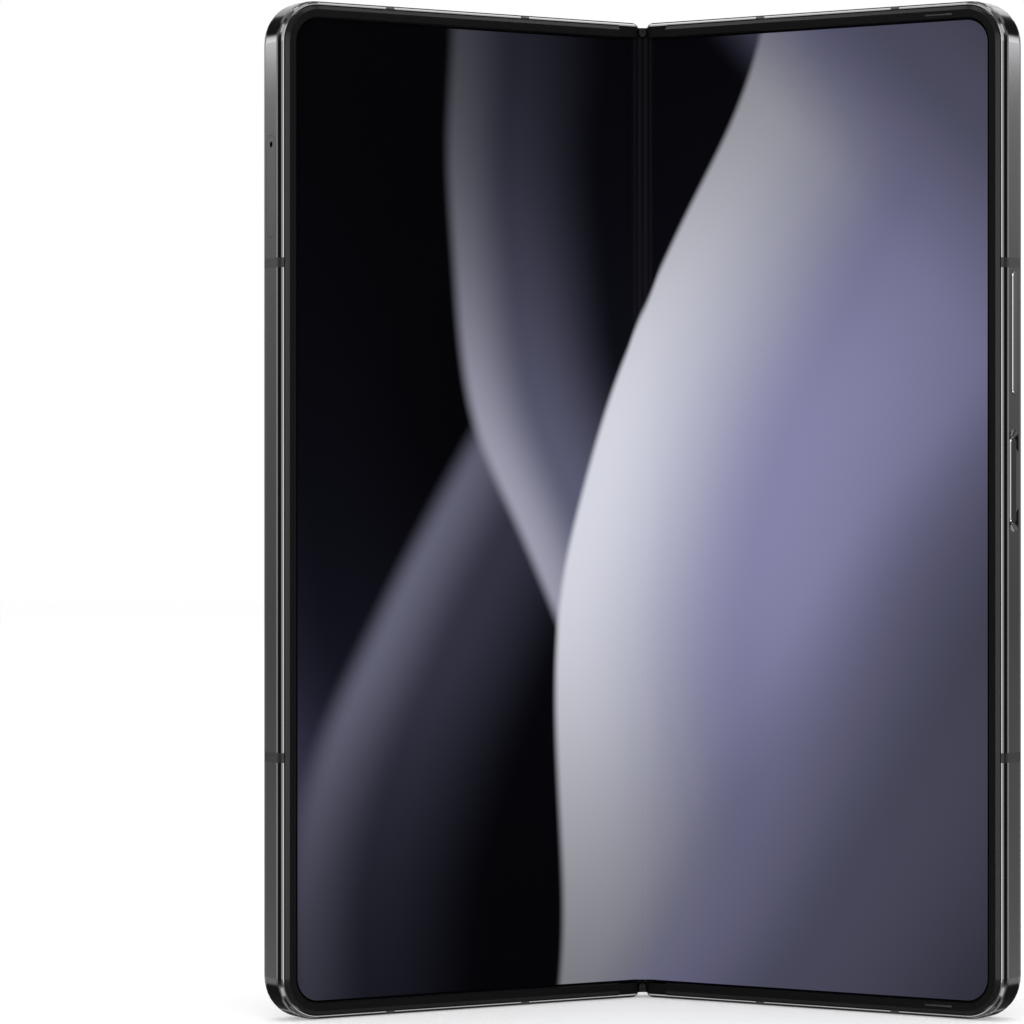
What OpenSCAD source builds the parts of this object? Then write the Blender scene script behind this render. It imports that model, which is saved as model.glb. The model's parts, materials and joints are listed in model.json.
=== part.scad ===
// Foldable smartphone that opens like a book, standing half open on its bottom edges.
// Millimetres. X runs to the right, Y away from the viewer, Z up. The screen faces -Y.
// Each half is drawn flat first: u outward from the spine, w from its front face to its back, z up.
// A half then turns about its own fold axis, at u = pivot_u and w = pivot_w.

/* [Phone] */
// Height of the phone
phone_h = 154.9; // [150:0.1:165]
// Width of one half, from the centre line to its outer edge
half_w = 64.95; // [62:0.05:72]
// Thickness of one half
half_t = 6.1; // [6:0.1:7.5]
// Lean of each half from flat, as it stands
lean = 32; // [0:1:60]
// Radius of the outer corners
corner_r = 6.5; // [5:0.1:9]
// Radius of the frame's corners beside the spine
notch_r = 0.95; // [0.3:0.05:1.2]
// How far the frame's ends stand back from the centre line in that notch
notch_in = 0.7; // [0.2:0.05:0.8]
// How far the rounded edges of the frame come in
edge_in = 0.66; // [0.3:0.02:1]
// How deep the rounded edges of the frame are
edge_deep = 1.35; // [0.8:0.05:1.8]

/* [Fold] */
// Distance between the two front faces when the phone is shut
shut_gap = 1.2; // [1:0.05:2]
// Distance of each fold axis from the centre line
pivot_u = 1.725; // [1.7:0.005:1.8]
// Radius of the spine's back about each fold axis
spine_r = 3.875; // [3.8:0.005:4]
// Wall of the spine cover
spine_wall = 0.6; // [0.4:0.05:0.6]
// Running gap between the spine and the halves
spine_gap = 0.1; // [0.05:0.01:0.15]
// Half of the seam between the two back edges
seam = 0.1; // [0.05:0.01:0.2]
// Thickness of the frame's end walls, which pass over the spine's ends
end_wall = 0.8; // [0.6:0.05:1.2]
// Gap between an end wall and the spine's end
end_gap = 0.1; // [0.05:0.01:0.2]

/* [Screen] */
// Thickness of the folding screen
screen_t = 0.6; // [0.4:0.05:0.6]
// Depth of the screen's face below the frame's front face
screen_sink = 0.05; // [0.02:0.01:0.1]
// Width of the edge from the frame's outer face to the picture
rim_w = 2.65; // [2.3:0.05:3.2]
// How far the screen runs on under the bezel
screen_under = 0.2; // [0.1:0.05:0.3]
// Height of the bezel over the frame's front face
bezel_h = 0.45; // [0.2:0.05:0.5]
// Distance of the bezel from the frame's outer face
bezel_foot = 0.8; // [0.75:0.05:1]
// Width of the bezel's outer slope
bezel_slope = 0.55; // [0.3:0.05:0.8]
// Width of the groove between the frame's rim and the bezel
rim_gap = 0.2; // [0.1:0.02:0.3]
// Depth of that groove
rim_gap_deep = 0.2; // [0.1:0.05:0.4]
// Half width of the part of the screen that bends
bend_u = 3.5; // [3.3:0.1:4]
// Where the bezel ends beside the spine
bezel_end_u = 4.9; // [4.7:0.1:6]
// Length of the receiver slot in the right bezel
bezel_slot_l = 4.9; // [3:0.1:7]
// Distance of the receiver slot from the spine
bezel_slot_u = 53.7; // [40:0.1:55]

/* [Back] */
// Thickness of the glass on each back
glass_t = 0.6; // [0.5:0.05:0.7]
// Distance of the glass from the frame's outer face
glass_in = 1; // [0.9:0.05:1.5]
// Where the glass begins beside the spine
glass_u = 2.7; // [2.5:0.1:4]
// Wall of the frame round its rear pocket
wall = 1.95; // [1.6:0.05:2.4]
// Thickness of the plate that carries the screen, with the screen's seat as its front
mid_t = 1.35; // [1.2:0.05:1.5]
// Gap round pieces that drop into a recess
fit = 0.05; // [0.03:0.01:0.1]

/* [Cameras] */
// Distance of the camera row from the outer edge
cam_in = 13.4; // [12:0.1:16]
// Height of the top lens below the phone's top
cam_top = 14.6; // [13:0.1:18]
// Spacing of the lenses
cam_step = 15.6; // [14:0.1:17]
// Number of lenses
cam_n = 3; // [1:1:3]
// Outer radius of a lens ring
ring_r = 6.7; // [6:0.1:7]
// Height of a lens ring over the island
ring_h = 1; // [0.6:0.1:1.6]
// Radius of the island's round ends
island_r = 8.65; // [8:0.05:9.5]
// Height of the island over the glass
island_h = 0.9; // [0.6:0.1:1.5]
// Width of the island's stepped border
island_step = 1.4; // [1:0.1:1.6]
// Radius of the flash
flash_r = 2.05; // [1.5:0.05:2.5]
// Distance of the flash from the outer edge
flash_in = 26.5; // [25:0.1:30]
// Height of the flash below the top
flash_top = 15.2; // [12:0.1:20]

/* [Keys] */
// Centre of the volume key below the phone's top
volume_top = 50.55; // [50:0.05:55]
// Length of the volume key's slot
volume_l = 18.9; // [14:0.1:19]
// Width of the volume key's slot
volume_w = 1.7; // [1.3:0.1:2]
// Centre of the power key below the phone's top
power_top = 72.95; // [71:0.05:77]
// Length of the hollow round the power key
power_l = 15.5; // [12:0.1:16]
// Width of the hollow round the power key
power_w = 3; // [2.8:0.1:3.3]
// Depth of the hollow round the power key
power_deep = 0.4; // [0.2:0.05:0.6]
// How far a key travels
key_travel = 0.25; // [0.15:0.01:0.3]
// How far the power key lies below the frame's side
key_in = 0.05; // [0.02:0.01:0.15]
// How far the volume key stands out of the frame
key_out = 0.2; // [0.1:0.05:0.3]

/* [Tray] */
// Centre of the card tray below the phone's top
tray_top = 28.35; // [27:0.05:30]
// Length of the tray's face
tray_l = 15.5; // [14:0.1:16]
// Width of the tray's face
tray_w = 2.9; // [2.4:0.1:3.2]
// Reach of the tray into the phone
tray_deep = 20; // [18:0.5:24]
// Radius of the eject hole
eject_r = 0.45; // [0.3:0.05:0.5]

/* [Edges] */
// Width of an antenna band
band_w = 1.5; // [1:0.1:1.8]
// Depth of an antenna band
band_deep = 1.6; // [1:0.1:1.7]
// Distance of the side bands from the bottom and the top
band_z = 39.2; // [37:0.1:40]
// Places of the bands across the top and bottom edges
band_u = [22, 46];
// Distance of the charging socket from the centre line
usb_u = 33; // [31:0.1:36]
// Length of the charging socket
usb_l = 6.7; // [6:0.1:8]
// Number of slots in a speaker grille
grille_n = 6; // [3:1:7]
// Spacing of the grille's slots
grille_step = 2.6; // [2.5:0.1:2.8]

/* [Hinge train] */
// Height of the first hinge block over the bottom
block_z = 12; // [10:0.5:20]
// Inner radius of a guide rail about its fold axis
rail_r = 2.2; // [2.1:0.05:2.25]
// Thickness of a guide rail
rail_t = 0.65; // [0.5:0.05:0.65]
// Angle that a guide rail spans past the back
rail_past = 16; // [8:1:18]
// Width of a guide rail along the spine
rail_l = 5; // [3:0.5:6]
// Width of the gears along the spine
gear_l = 2.4; // [1.5:0.1:3]
// Width of the arms along the spine
arm_l = 5.8; // [4:0.1:6]
// Thickness of an arm
arm_t = 0.7; // [0.5:0.05:0.7]
// Reach of an arm past its shaft
arm_reach = 8; // [7:0.1:9]
// Radius of the gears' shafts
shaft_r = 0.4; // [0.3:0.02:0.42]
// Running clearance of the shafts and rails
run = 0.02; // [0.015:0.005:0.03]

/* [Inside] */
// Height of the batteries' lower end over the bottom
cell_low = 20; // [18:0.5:24]
// Length of the room for the boards, from the batteries' upper end to the top
board_room = 61.9; // [61:0.1:66]
// Outer radius of the charging coil's shield
coil_r = 22; // [18:0.5:23]
// Length of a magnet
magnet_l = 16; // [10:0.5:18]
// Distance between the two magnets of a half
magnet_gap = 5; // [3:0.5:8]

/* [Hidden] */

$fn = 64;
eps = 0.5;
pivot_w = pivot_u - shut_gap / 2;
bore_r = spine_r + spine_gap;
flap_w = pivot_w + bore_r;
spine_back = pivot_w + spine_r;
inner_r = spine_r - spine_wall;
screen_back = screen_sink + screen_t;
wing_t = 0.4;
wing_back = screen_back + wing_t;
mid_back = screen_back + mid_t;
screen_u = half_w - rim_w + screen_under;
screen_low = rim_w - screen_under;
glass_w = half_t - glass_t;
ledge_u = flap_w + 1.5;
hinge_wall_u = pivot_u + bore_r + 0.1;
pocket_u = hinge_wall_u + 0.8;
side_mid = half_t / 2;
volume_z = phone_h - volume_top;
power_z = phone_h - power_top;
tray_z = phone_h - tray_top;
// The socket's mouth has the standard size, and the gears match each other.
usb_w = 8.34;
usb_h = 2.56;
teeth = 10;
pitch_r = 1;

// The rounded edge, as how far in it lies at each depth from the front to the back.
edge_steps = 5;
function edge_front() = [for (k = [0 : edge_steps]) let (a = 90 * k / edge_steps)
    [edge_in * (1 - sin(a)), edge_deep * (1 - cos(a))]];
function edge_all() = concat(edge_front(),
    [for (k = [edge_steps : -1 : 0]) let (p = edge_front()[k]) [p[0], half_t - p[1]]]);

// Front to back place of a point of a leaning half
function lean_y(u, w) = pivot_w - (u - pivot_u) * sin(lean) + (w - pivot_w) * cos(lean);
front_y = min([for (p = edge_all()) lean_y(half_w - p[0], p[1])]);
back_y = lean_y(seam, half_t);
stand_y = -(front_y + back_y) / 2;

// ---- Places ----

module in_place() {
    translate([0, stand_y, 0]) children();
}

// Turns a flat half closing by the lean about its fold axis.
module right_half() {
    in_place() translate([pivot_u, pivot_w, 0]) rotate([0, 0, -lean])
        translate([-pivot_u, -pivot_w, 0]) children();
}

module left_half() {
    in_place() mirror([1, 0, 0]) translate([pivot_u, pivot_w, 0]) rotate([0, 0, -lean])
        translate([-pivot_u, -pivot_w, 0]) children();
}

// The same shape at the bottom and, mirrored, at the top
module both_ends() {
    children();
    translate([0, 0, phone_h]) mirror([0, 0, 1]) children();
}

// A flat outline in u and z, made solid from depth w0 to depth w1
module deep(w0, w1) {
    translate([0, w1, 0]) rotate([90, 0, 0]) linear_extrude(w1 - w0) children();
}

// A box given by two corners
module block(from, to) {
    translate(from) cube(to - from);
}

// A rounded rectangle with one radius for its inner and one for its outer corners
module round_rect(from, to, r_in, r_out) {
    translate([from[0] + r_in, from[1]]) square([to[0] - from[0] - r_in - r_out, to[1] - from[1]]);
    translate([from[0], from[1] + r_in]) square([r_in, to[1] - from[1] - 2 * r_in]);
    translate([to[0] - r_out, from[1] + r_out]) square([r_out, to[1] - from[1] - 2 * r_out]);
    for (z = [from[1] + r_in, to[1] - r_in]) translate([from[0] + r_in, z]) circle(r_in);
    for (z = [from[1] + r_out, to[1] - r_out]) translate([to[0] - r_out, z]) circle(r_out);
}

// A slot with round ends, long in its first direction
module slot_2d(l, w) {
    square([l - w, w], center = true);
    for (s = [-1, 1]) translate([s * (l - w) / 2, 0]) circle(d = w);
}

// A slot shape on the outer side face, long in z, from u0 to u1
module side_slot(z, l, w, u0, u1) {
    translate([u0, side_mid, z]) rotate([0, 90, 0]) linear_extrude(u1 - u0) slot_2d(l, w);
}

// A slot shape on the bottom edge, long in u, from z0 to z1
module end_slot(u, l, w, z0, z1) {
    translate([u, side_mid, z0]) linear_extrude(z1 - z0) slot_2d(l, w);
}

// A section, given as how far in and how deep, swept round the outer edge of a half
// from u_from at the bottom, up the side and back to u_from at the top.
module sweep_edge(section, u_from) {
    translate([0, 0, corner_r]) linear_extrude(phone_h - 2 * corner_r)
        polygon([for (p = section) [half_w - p[0], p[1]]]);
    both_ends() {
        translate([u_from, 0, 0]) rotate([90, 0, 90]) linear_extrude(half_w - corner_r - u_from)
            polygon([for (p = section) [p[1], p[0]]]);
        translate([half_w - corner_r, 0, corner_r]) rotate([-90, 0, 0]) rotate_extrude(angle = 90)
            polygon([for (p = section) [corner_r - p[0], p[1]]]);
    }
}

// ---- Frames ----

// A half's outside: rounded edges on three sides, which turn in at the corners beside the spine
module half_blank() {
    turn_u = seam + notch_in + notch_r;
    block([seam, 0, corner_r], [half_w - corner_r, half_t, phone_h - corner_r]);
    sweep_edge(concat(edge_all(), [[corner_r, half_t], [corner_r, 0]]), turn_u);
    both_ends() {
        block([seam, 0, notch_r], [turn_u, half_t, corner_r]);
        translate([turn_u, 0, notch_r]) rotate([-90, 0, 0]) rotate([0, 0, 90])
            rotate_extrude(angle = 90) polygon(concat([for (p = edge_all()) [notch_r - p[0], p[1]]],
                [[0, half_t], [0, 0]]));
    }
}

// The groove that parts the frame's rim from the bezel
module rim_groove() {
    sweep_edge([[bezel_foot - rim_gap, -eps], [bezel_foot, -eps], [bezel_foot, rim_gap_deep],
        [bezel_foot - rim_gap, rim_gap_deep]], bezel_end_u);
}

// What is cut off a half beside the spine, so that the two halves roll past each other
module fold_relief() {
    difference() {
        block([-eps, -eps, -eps], [pivot_u, pivot_w, phone_h + eps]);
        translate([pivot_u, pivot_w, -1]) cylinder(h = phone_h + 2, r = pivot_u - seam);
    }
}

// The hollow that the spine and its hinges turn in
module spine_hollow() {
    block([-eps, -eps, end_wall], [hinge_wall_u, mid_back - 0.1, phone_h - end_wall]);
    block([-eps, -eps, end_wall], [pivot_u, flap_w, phone_h - end_wall]);
    translate([pivot_u, pivot_w, end_wall]) cylinder(h = phone_h - 2 * end_wall, r = bore_r);
}

// The places where antenna bands part the frame's edge
module band_cuts() {
    both_ends() {
        block([half_w - band_deep, -eps, band_z], [half_w + eps, half_t + eps, band_z + band_w]);
        for (u = band_u)
            block([u - band_w / 2, -eps, -eps], [u + band_w / 2, half_t + eps, band_deep]);
    }
}

// The seats of the screen, guards, wing plate and brackets in a half's front
module front_seats() {
    block([-eps, -eps, screen_low - fit], [screen_u + fit, screen_back, phone_h - screen_low + fit]);
    block([-eps, -eps, wing_low - fit], [wing_u + fit, wing_back, phone_h - wing_low + fit]);
    both_ends() {
        block([-eps, -eps, guard_low - fit], [guard_u + fit, guard_back, screen_low + eps]);
        block([pocket_u - fit, wing_back - eps, nose_z - fit],
            [nose_u + fit, mid_back + eps, nose_z + nose_l + fit]);
        block([-eps, wing_back - eps, slot_z], [pocket_u + eps, slot_back, slot_z + slot_l]);
    }
}

// The hollow behind the screen's plate and the ledge that the back glass lies on
module back_hollow() {
    deep(mid_back, half_t + eps) round_rect([pocket_u, wall], [half_w - wall, phone_h - wall],
        notch_r, corner_r - wall);
    glass_seat();
}

module glass_seat() {
    deep(glass_w, half_t + eps) round_rect([glass_u, glass_in], [half_w - glass_in, phone_h - glass_in],
        notch_r, corner_r - glass_in);
}

module frame_body() {
    difference() {
        half_blank();
        fold_relief();
        spine_hollow();
        front_seats();
        back_hollow();
        band_cuts();
        rim_groove();
    }
}

// The hollow round the power key: sloped sides and longer, round-ended scoops above and below
module key_hollow(z) {
    low_r = power_key_w / 2;
    side_r = power_w / 2;
    end_r = low_r + (power_l - power_key_l) / 2;
    reach = (power_key_l - power_key_w) / 2;
    deep_u = half_w - power_deep;
    translate([deep_u, side_mid, z]) rotate([0, 90, 0]) {
        for (s = [-1, 1]) intersection() {
            translate([s * reach, 0, 0]) cylinder(h = power_deep, r1 = low_r, r2 = end_r);
            translate([-power_l, -side_r, -eps]) cube([2 * power_l, power_w, power_deep + 2 * eps]);
        }
        rotate([90, 0, 90]) linear_extrude(2 * reach, center = true)
            polygon([[-low_r, 0], [low_r, 0], [side_r, power_deep], [-side_r, power_deep]]);
        translate([0, 0, power_deep]) linear_extrude(eps) slot_2d(power_l, power_w);
    }
}

module right_frame() {
    color("#3a3b3d") right_half() difference() {
        frame_body();
        side_slot(volume_z, volume_l, volume_w, half_w - wall - eps, half_w + eps);
        key_hollow(power_z);
        side_slot(power_z, power_key_l + 2 * fit, power_key_w + 2 * fit, half_w - wall - eps, half_w);
        flange_room(power_z, power_key_l, power_key_w);
        flange_room(volume_z, volume_key_l, volume_key_w);
        end_slot(usb_u, usb_w + 2 * (usb_wall + fit), usb_h + 2 * (usb_wall + fit), -eps, usb_back + fit);
        for (u = mic_u) translate([u, side_mid, -eps]) cylinder(h = wall + 2 * eps, r = mic_r, $fn = 24);
    }
}

module left_frame() {
    color("#3a3b3d") left_half() difference() {
        frame_body();
        side_slot(tray_z, tray_l + 2 * fit, tray_w + 2 * fit, half_w - wall - eps, half_w + eps);
        both_ends() for (k = [0 : grille_n - 1])
            end_slot(grille_u + k * grille_step, grille_l, grille_w, -eps, wall + eps);
    }
}

// The plastic bands that fill the frame's cuts, with the frame's own section
module antenna_bands() {
    difference() {
        intersection() {
            sweep_edge(concat(edge_all(), [[band_deep, half_t], [band_deep, 0]]), seam);
            band_cuts();
        }
        glass_seat();
        rim_groove();
    }
}

module right_antenna_bands() {
    color("#232426") right_half() antenna_bands();
}

module left_antenna_bands() {
    color("#232426") left_half() antenna_bands();
}

// The raised border that covers the screen's edge on three sides
module bezel() {
    section = [[bezel_foot, 0], [bezel_foot + bezel_slope, -bezel_h], [rim_w - 0.2, -bezel_h], [rim_w, 0]];
    sweep_edge(section, bezel_end_u);
}

bezel_slot_w = 0.4;
module right_bezel() {
    color("#18181a") right_half() difference() {
        bezel();
        both_ends() deep(-bezel_h - eps, -bezel_h / 3)
            translate([bezel_slot_u, bezel_foot + bezel_slope + 0.55]) slot_2d(bezel_slot_l, bezel_slot_w);
    }
}

module left_bezel() {
    color("#18181a") left_half() bezel();
}

// The soft end pieces that close the bezel beside the spine
guard_u = hinge_wall_u + 0.8;
guard_back = 0.6;
guard_low = end_wall + fit;
guard_in = seam + 0.7;
guard_sweep = norm([pivot_u - guard_in, pivot_w]);
module fold_guards() {
    both_ends() deep(0, guard_back)
        round_rect([guard_in, guard_low], [guard_u, screen_low - fit], 0.35, 0.05);
}

module right_fold_guards() {
    color("#2c2c2f") right_half() fold_guards();
}

module left_fold_guards() {
    color("#2c2c2f") left_half() fold_guards();
}

// ---- Screen ----

module screen_half() {
    deep(screen_sink, screen_back) round_rect([bend_u, screen_low], [screen_u, phone_h - screen_low],
        0.02, corner_r - screen_low);
}

module display_right() {
    color("#4b4a66") right_half() screen_half();
}

module display_left() {
    color("#1c1b26") left_half() screen_half();
}

// A point of the bent part of the screen: the lean grows smoothly from none at the centre line
bend_steps = 12;
function bent(s, w) = let (t = s / bend_u, a = lean * t * t * (3 - 2 * t), u = s - pivot_u, v = w - pivot_w)
    [pivot_u + u * cos(a) + v * sin(a), pivot_w - u * sin(a) + v * cos(a)];
function bent_side(w) = [for (k = [0 : bend_steps]) bent(bend_u * k / bend_steps, w)];
function mirrored(points) = [for (k = [len(points) - 1 : -1 : 1]) [-points[k][0], points[k][1]]];

module display_fold() {
    front = bent_side(screen_sink);
    back = bent_side(screen_back);
    outline = concat(mirrored(front), front, [for (k = [len(back) - 1 : -1 : 1]) back[k]],
        [back[0]], [for (k = [1 : len(back) - 1]) [-back[k][0], back[k][1]]]);
    color("#3a3950") in_place() translate([0, 0, screen_low])
        linear_extrude(phone_h - 2 * screen_low) polygon(outline);
}

// ---- Spine ----

// The spine's round-backed section about both fold axes
module spine_2d(r) {
    for (s = [-1, 1]) translate([s * pivot_u, pivot_w]) circle(r);
    translate([-pivot_u, pivot_w - r]) square([2 * pivot_u, 2 * r]);
}

spine_low = end_wall + end_gap;
spine_rim = pivot_w + 0.975;
end_plate = 0.6;

module spine_cover() {
    color("#2f3032") in_place() translate([0, 0, spine_low]) linear_extrude(phone_h - 2 * spine_low)
        intersection() {
            difference() {
                spine_2d(spine_r);
                spine_2d(inner_r);
            }
            translate([-2 * spine_r, spine_rim]) square([4 * spine_r, 2 * spine_r]);
        }
}

// The spine's end plates, each with a stem that holds an arched cap over the fold's end
plate_front = pivot_w + guard_sweep + 0.05;
stem_w = 0.4;
cap_w = 1;
cap_t = 0.25;
cap_low = 0.95;
cap_high = 2.35;
cap_groove = 0.12;
module spine_end_caps() {
    cap_r = cap_w / 2;
    color("#1b1b1d") in_place() both_ends() {
        translate([0, 0, spine_low]) linear_extrude(end_plate) intersection() {
            spine_2d(inner_r - 2 * run);
            translate([-2 * spine_r, plate_front]) square([4 * spine_r, 2 * spine_r]);
        }
        block([-stem_w / 2, -cap_t / 2, spine_low + 2 * fit],
            [stem_w / 2, plate_front + fit, spine_low + end_plate]);
        rotate([90, 0, 0]) difference() {
            linear_extrude(cap_t) {
                translate([0, cap_high - cap_r]) circle(cap_r);
                translate([-cap_r, cap_low]) square([cap_w, cap_high - cap_r - cap_low]);
            }
            translate([0, 0, cap_t - cap_groove]) linear_extrude(cap_t)
                polygon([[-cap_r + 0.12, cap_low - eps], [-cap_r + 0.28, cap_low - eps],
                    [0, cap_high - cap_r - 0.1], [cap_r - 0.28, cap_low - eps],
                    [cap_r - 0.12, cap_low - eps], [0, cap_high - 0.12]]);
        }
    }
}

housing_front = pivot_w + 0.075;
rail_groove = 0.05;
groove_l = rail_l + 2 * rail_groove;
cheek = 0.9;
block_l = groove_l + 2 * cheek;
gear_z = block_z + block_l + 0.1;
slot_z = gear_z + gear_l - 0.1;
slot_l = arm_l + 0.2;
nose_wall = 0.7;
nose_z = slot_z - nose_wall;
nose_l = slot_l + 2 * nose_wall;
train_l = gear_l + arm_l + 0.4;
housing_l = 2 * block_l + train_l;
gear_u = pivot_u + 1.275;
gear_w = pivot_w + 1.275;
idler_u = gear_u - 2 * pitch_r;
tip_r = 1.19 * pitch_r;
root_r = 0.74 * pitch_r;

// The annular groove that a guide rail slides in, about its fold axis
module rail_arc(grow, from_a, to_a, l) {
    translate([pivot_u, pivot_w, -l / 2]) rotate([0, 0, from_a]) rotate_extrude(angle = to_a - from_a)
        translate([rail_r - grow, 0]) square([rail_t + 2 * grow, l]);
}

module mirror_pair() {
    children();
    mirror([1, 0, 0]) children();
}

// One hinge block: a grooved end for the rails on each side of the open gear bay
module hinge_housings() {
    bay_z = block_z + block_l;
    color("#5b5d60") in_place() both_ends() difference() {
        translate([0, 0, block_z]) linear_extrude(housing_l) intersection() {
            spine_2d(inner_r - run);
            translate([-2 * spine_r, housing_front]) square([4 * spine_r, 2 * spine_r]);
        }
        mirror_pair() for (z = [block_z + block_l / 2, block_z + housing_l - block_l / 2])
            translate([0, 0, z]) rail_arc(rail_groove, -10, 92 + rail_past, groove_l);
        block([-2 * spine_r, 0, bay_z], [2 * spine_r, gear_w + tip_r + 0.05, bay_z + train_l]);
        mirror_pair() for (u = [gear_u, idler_u]) translate([u, gear_w, bay_z - cheek / 2])
            cylinder(h = train_l + cheek, r = shaft_r + run, $fn = 24);
    }
}

// The narrow plate under the fold
module hinge_centre_plate() {
    color("#7b7d80") in_place() block([-0.95, screen_back + 0.1, screen_low],
        [0.95, housing_front, phone_h - screen_low]);
}

module hinge_shafts() {
    color("#b9bbbe") in_place() both_ends() mirror_pair() for (u = [gear_u, idler_u])
        translate([u, gear_w, block_z + block_l - cheek / 2])
            cylinder(h = train_l + cheek, r = shaft_r, $fn = 24);
}

// One gear, with a tooth at the angle first
module gear_2d(first) {
    circle(root_r);
    for (k = [0 : teeth - 1]) rotate(first + k * 360 / teeth)
        polygon([[0, -root_r * sin(10)], [root_r * cos(10), -root_r * sin(10)],
            [pitch_r, -pitch_r * sin(6.8)], [tip_r, -tip_r * sin(2.6)], [tip_r, tip_r * sin(2.6)],
            [pitch_r, pitch_r * sin(6.8)], [root_r * cos(10), root_r * sin(10)], [0, root_r * sin(10)]]);
}

// An arm, drawn flat at its shaft: gear, hub and the leaf that slides in the half
hub_r = root_r - 0.04;
leaf_drop = 0.55;
leaf_neck = 0.05;
module sync_arm(first) {
    translate([0, 0, gear_z]) difference() {
        union() {
            linear_extrude(gear_l) gear_2d(first);
            cylinder(h = gear_l + arm_l, r = hub_r);
            translate([0, 0, gear_l + 0.1]) linear_extrude(arm_l - 0.1)
                polygon([[leaf_neck, -leaf_drop - arm_t], [arm_reach, -leaf_drop - arm_t],
                    [arm_reach, -leaf_drop], [hub_r + leaf_neck, -leaf_drop],
                    [hub_r - 0.08, -leaf_neck], [leaf_neck, -leaf_neck]]);
        }
        translate([0, 0, -1]) cylinder(h = gear_l + arm_l + 2, r = shaft_r + run, $fn = 24);
    }
}

module right_sync_arms() {
    color("#8f9194") in_place() both_ends()
        translate([gear_u, gear_w, 0]) rotate([0, 0, -lean]) sync_arm(0);
}

module left_sync_arms() {
    color("#8f9194") in_place() both_ends() mirror([1, 0, 0])
        translate([gear_u, gear_w, 0]) rotate([0, 0, -lean]) sync_arm(180 / teeth);
}

// A gear between the arms' gears, with a sleeve that keeps it in place
module idler(first) {
    translate([idler_u, gear_w, gear_z]) rotate([0, 0, lean]) difference() {
        union() {
            linear_extrude(gear_l) gear_2d(first);
            cylinder(h = gear_l + arm_l, r = 0.6, $fn = 32);
        }
        translate([0, 0, -1]) cylinder(h = gear_l + arm_l + 2, r = shaft_r + run, $fn = 24);
    }
}

module right_idler_gears() {
    color("#a8894e") in_place() both_ends() idler(180 / teeth);
}

module left_idler_gears() {
    color("#a8894e") in_place() both_ends() mirror([1, 0, 0]) idler(0);
}

// ---- Hinge pieces on each half ----

// The leaf of an arm lies this deep behind its half's front when flat
leaf_front = gear_w - leaf_drop - arm_t;
arm_bulge = (gear_u - pivot_u) * (sqrt(2) - 1);
slot_back = leaf_front + arm_t + arm_bulge + 0.07;
slot_u = gear_u + arm_reach + 0.3;
nose_u = slot_u + 0.8;
bracket_u = nose_u + 1;
bracket_side = 1.4;
wing_low = 3.2;
wing_u = 12.5;
wing_from = bend_u + fit;

// A thin steel plate behind the screen with the arc rails that carry the half
module wing_plate() {
    deep(screen_back, wing_back) round_rect([wing_from, wing_low], [wing_u, phone_h - wing_low], 0.3, 1);
    both_ends() for (z = [block_z + block_l / 2, block_z + housing_l - block_l / 2])
        translate([0, 0, z]) rail_arc(0, -9, 90 + rail_past, rail_l);
}

module right_wing_plate() {
    color("#94969a") right_half() wing_plate();
}

module left_wing_plate() {
    color("#94969a") left_half() wing_plate();
}

// The pocket in each half that an arm's leaf slides in
module slide_brackets() {
    both_ends() difference() {
        union() {
            block([pocket_u + fit, mid_back, nose_z - bracket_side],
                [bracket_u, slot_back + 0.6, nose_z + nose_l + bracket_side]);
            block([pocket_u + fit, wing_back, nose_z], [nose_u, mid_back, nose_z + nose_l]);
        }
        block([0, wing_back - eps, slot_z], [slot_u, slot_back, slot_z + slot_l]);
        for (z = [nose_z - bracket_side / 2, nose_z + nose_l + bracket_side / 2],
            u = [pocket_u + 1, bracket_u - 1]) translate([u, mid_back - eps, z])
                rotate([-90, 0, 0]) cylinder(h = 3, r = 0.35, $fn = 24);
    }
}

module right_slide_brackets() {
    color("#6f7175") right_half() slide_brackets();
}

module left_slide_brackets() {
    color("#6f7175") left_half() slide_brackets();
}

// ---- Backs ----

module back_glass() {
    deep(glass_w, half_t) round_rect([glass_u + fit, glass_in + fit],
        [half_w - glass_in - fit, phone_h - glass_in - fit], notch_r - fit, corner_r - glass_in - fit);
}

island_u = half_w - cam_in;
island_z = phone_h - cam_top - (cam_n - 1) * cam_step / 2;
island_l = (cam_n - 1) * cam_step + 2 * island_r;
island_foot = island_r - 1.1;
barrel_r = 5.4;
cam_body = 14.4;

// A section of radius and depth, revolved at both ends of the camera row and drawn out between them
module stadium_solid(section) {
    span = (cam_n - 1) * cam_step;
    for (s = [-1, 1]) translate([island_u, 0, island_z + s * span / 2]) rotate([s > 0 ? 90 : -90, 0, 0])
        rotate([0, s > 0 ? 180 : 0, 0]) rotate_extrude(angle = 180) polygon(section);
    translate([island_u, 0, island_z - span / 2]) linear_extrude(span) {
        polygon(section);
        mirror([1, 0]) polygon(section);
    }
}

module cam_places() {
    for (k = [0 : cam_n - 1]) translate([island_u, 0, phone_h - cam_top - k * cam_step])
        rotate([-90, 0, 0]) children();
}

flash_u = half_w - flash_in;
flash_z = phone_h - flash_top;
module rear_glass() {
    color("#1b1c19") right_half() difference() {
        back_glass();
        stadium_solid([[0, glass_w - eps], [island_foot + fit, glass_w - eps],
            [island_foot + fit, half_t + eps], [0, half_t + eps]]);
        translate([flash_u, glass_w - eps, flash_z]) rotate([-90, 0, 0])
            cylinder(h = glass_t + 2 * eps, r = flash_r + fit);
    }
}

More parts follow.
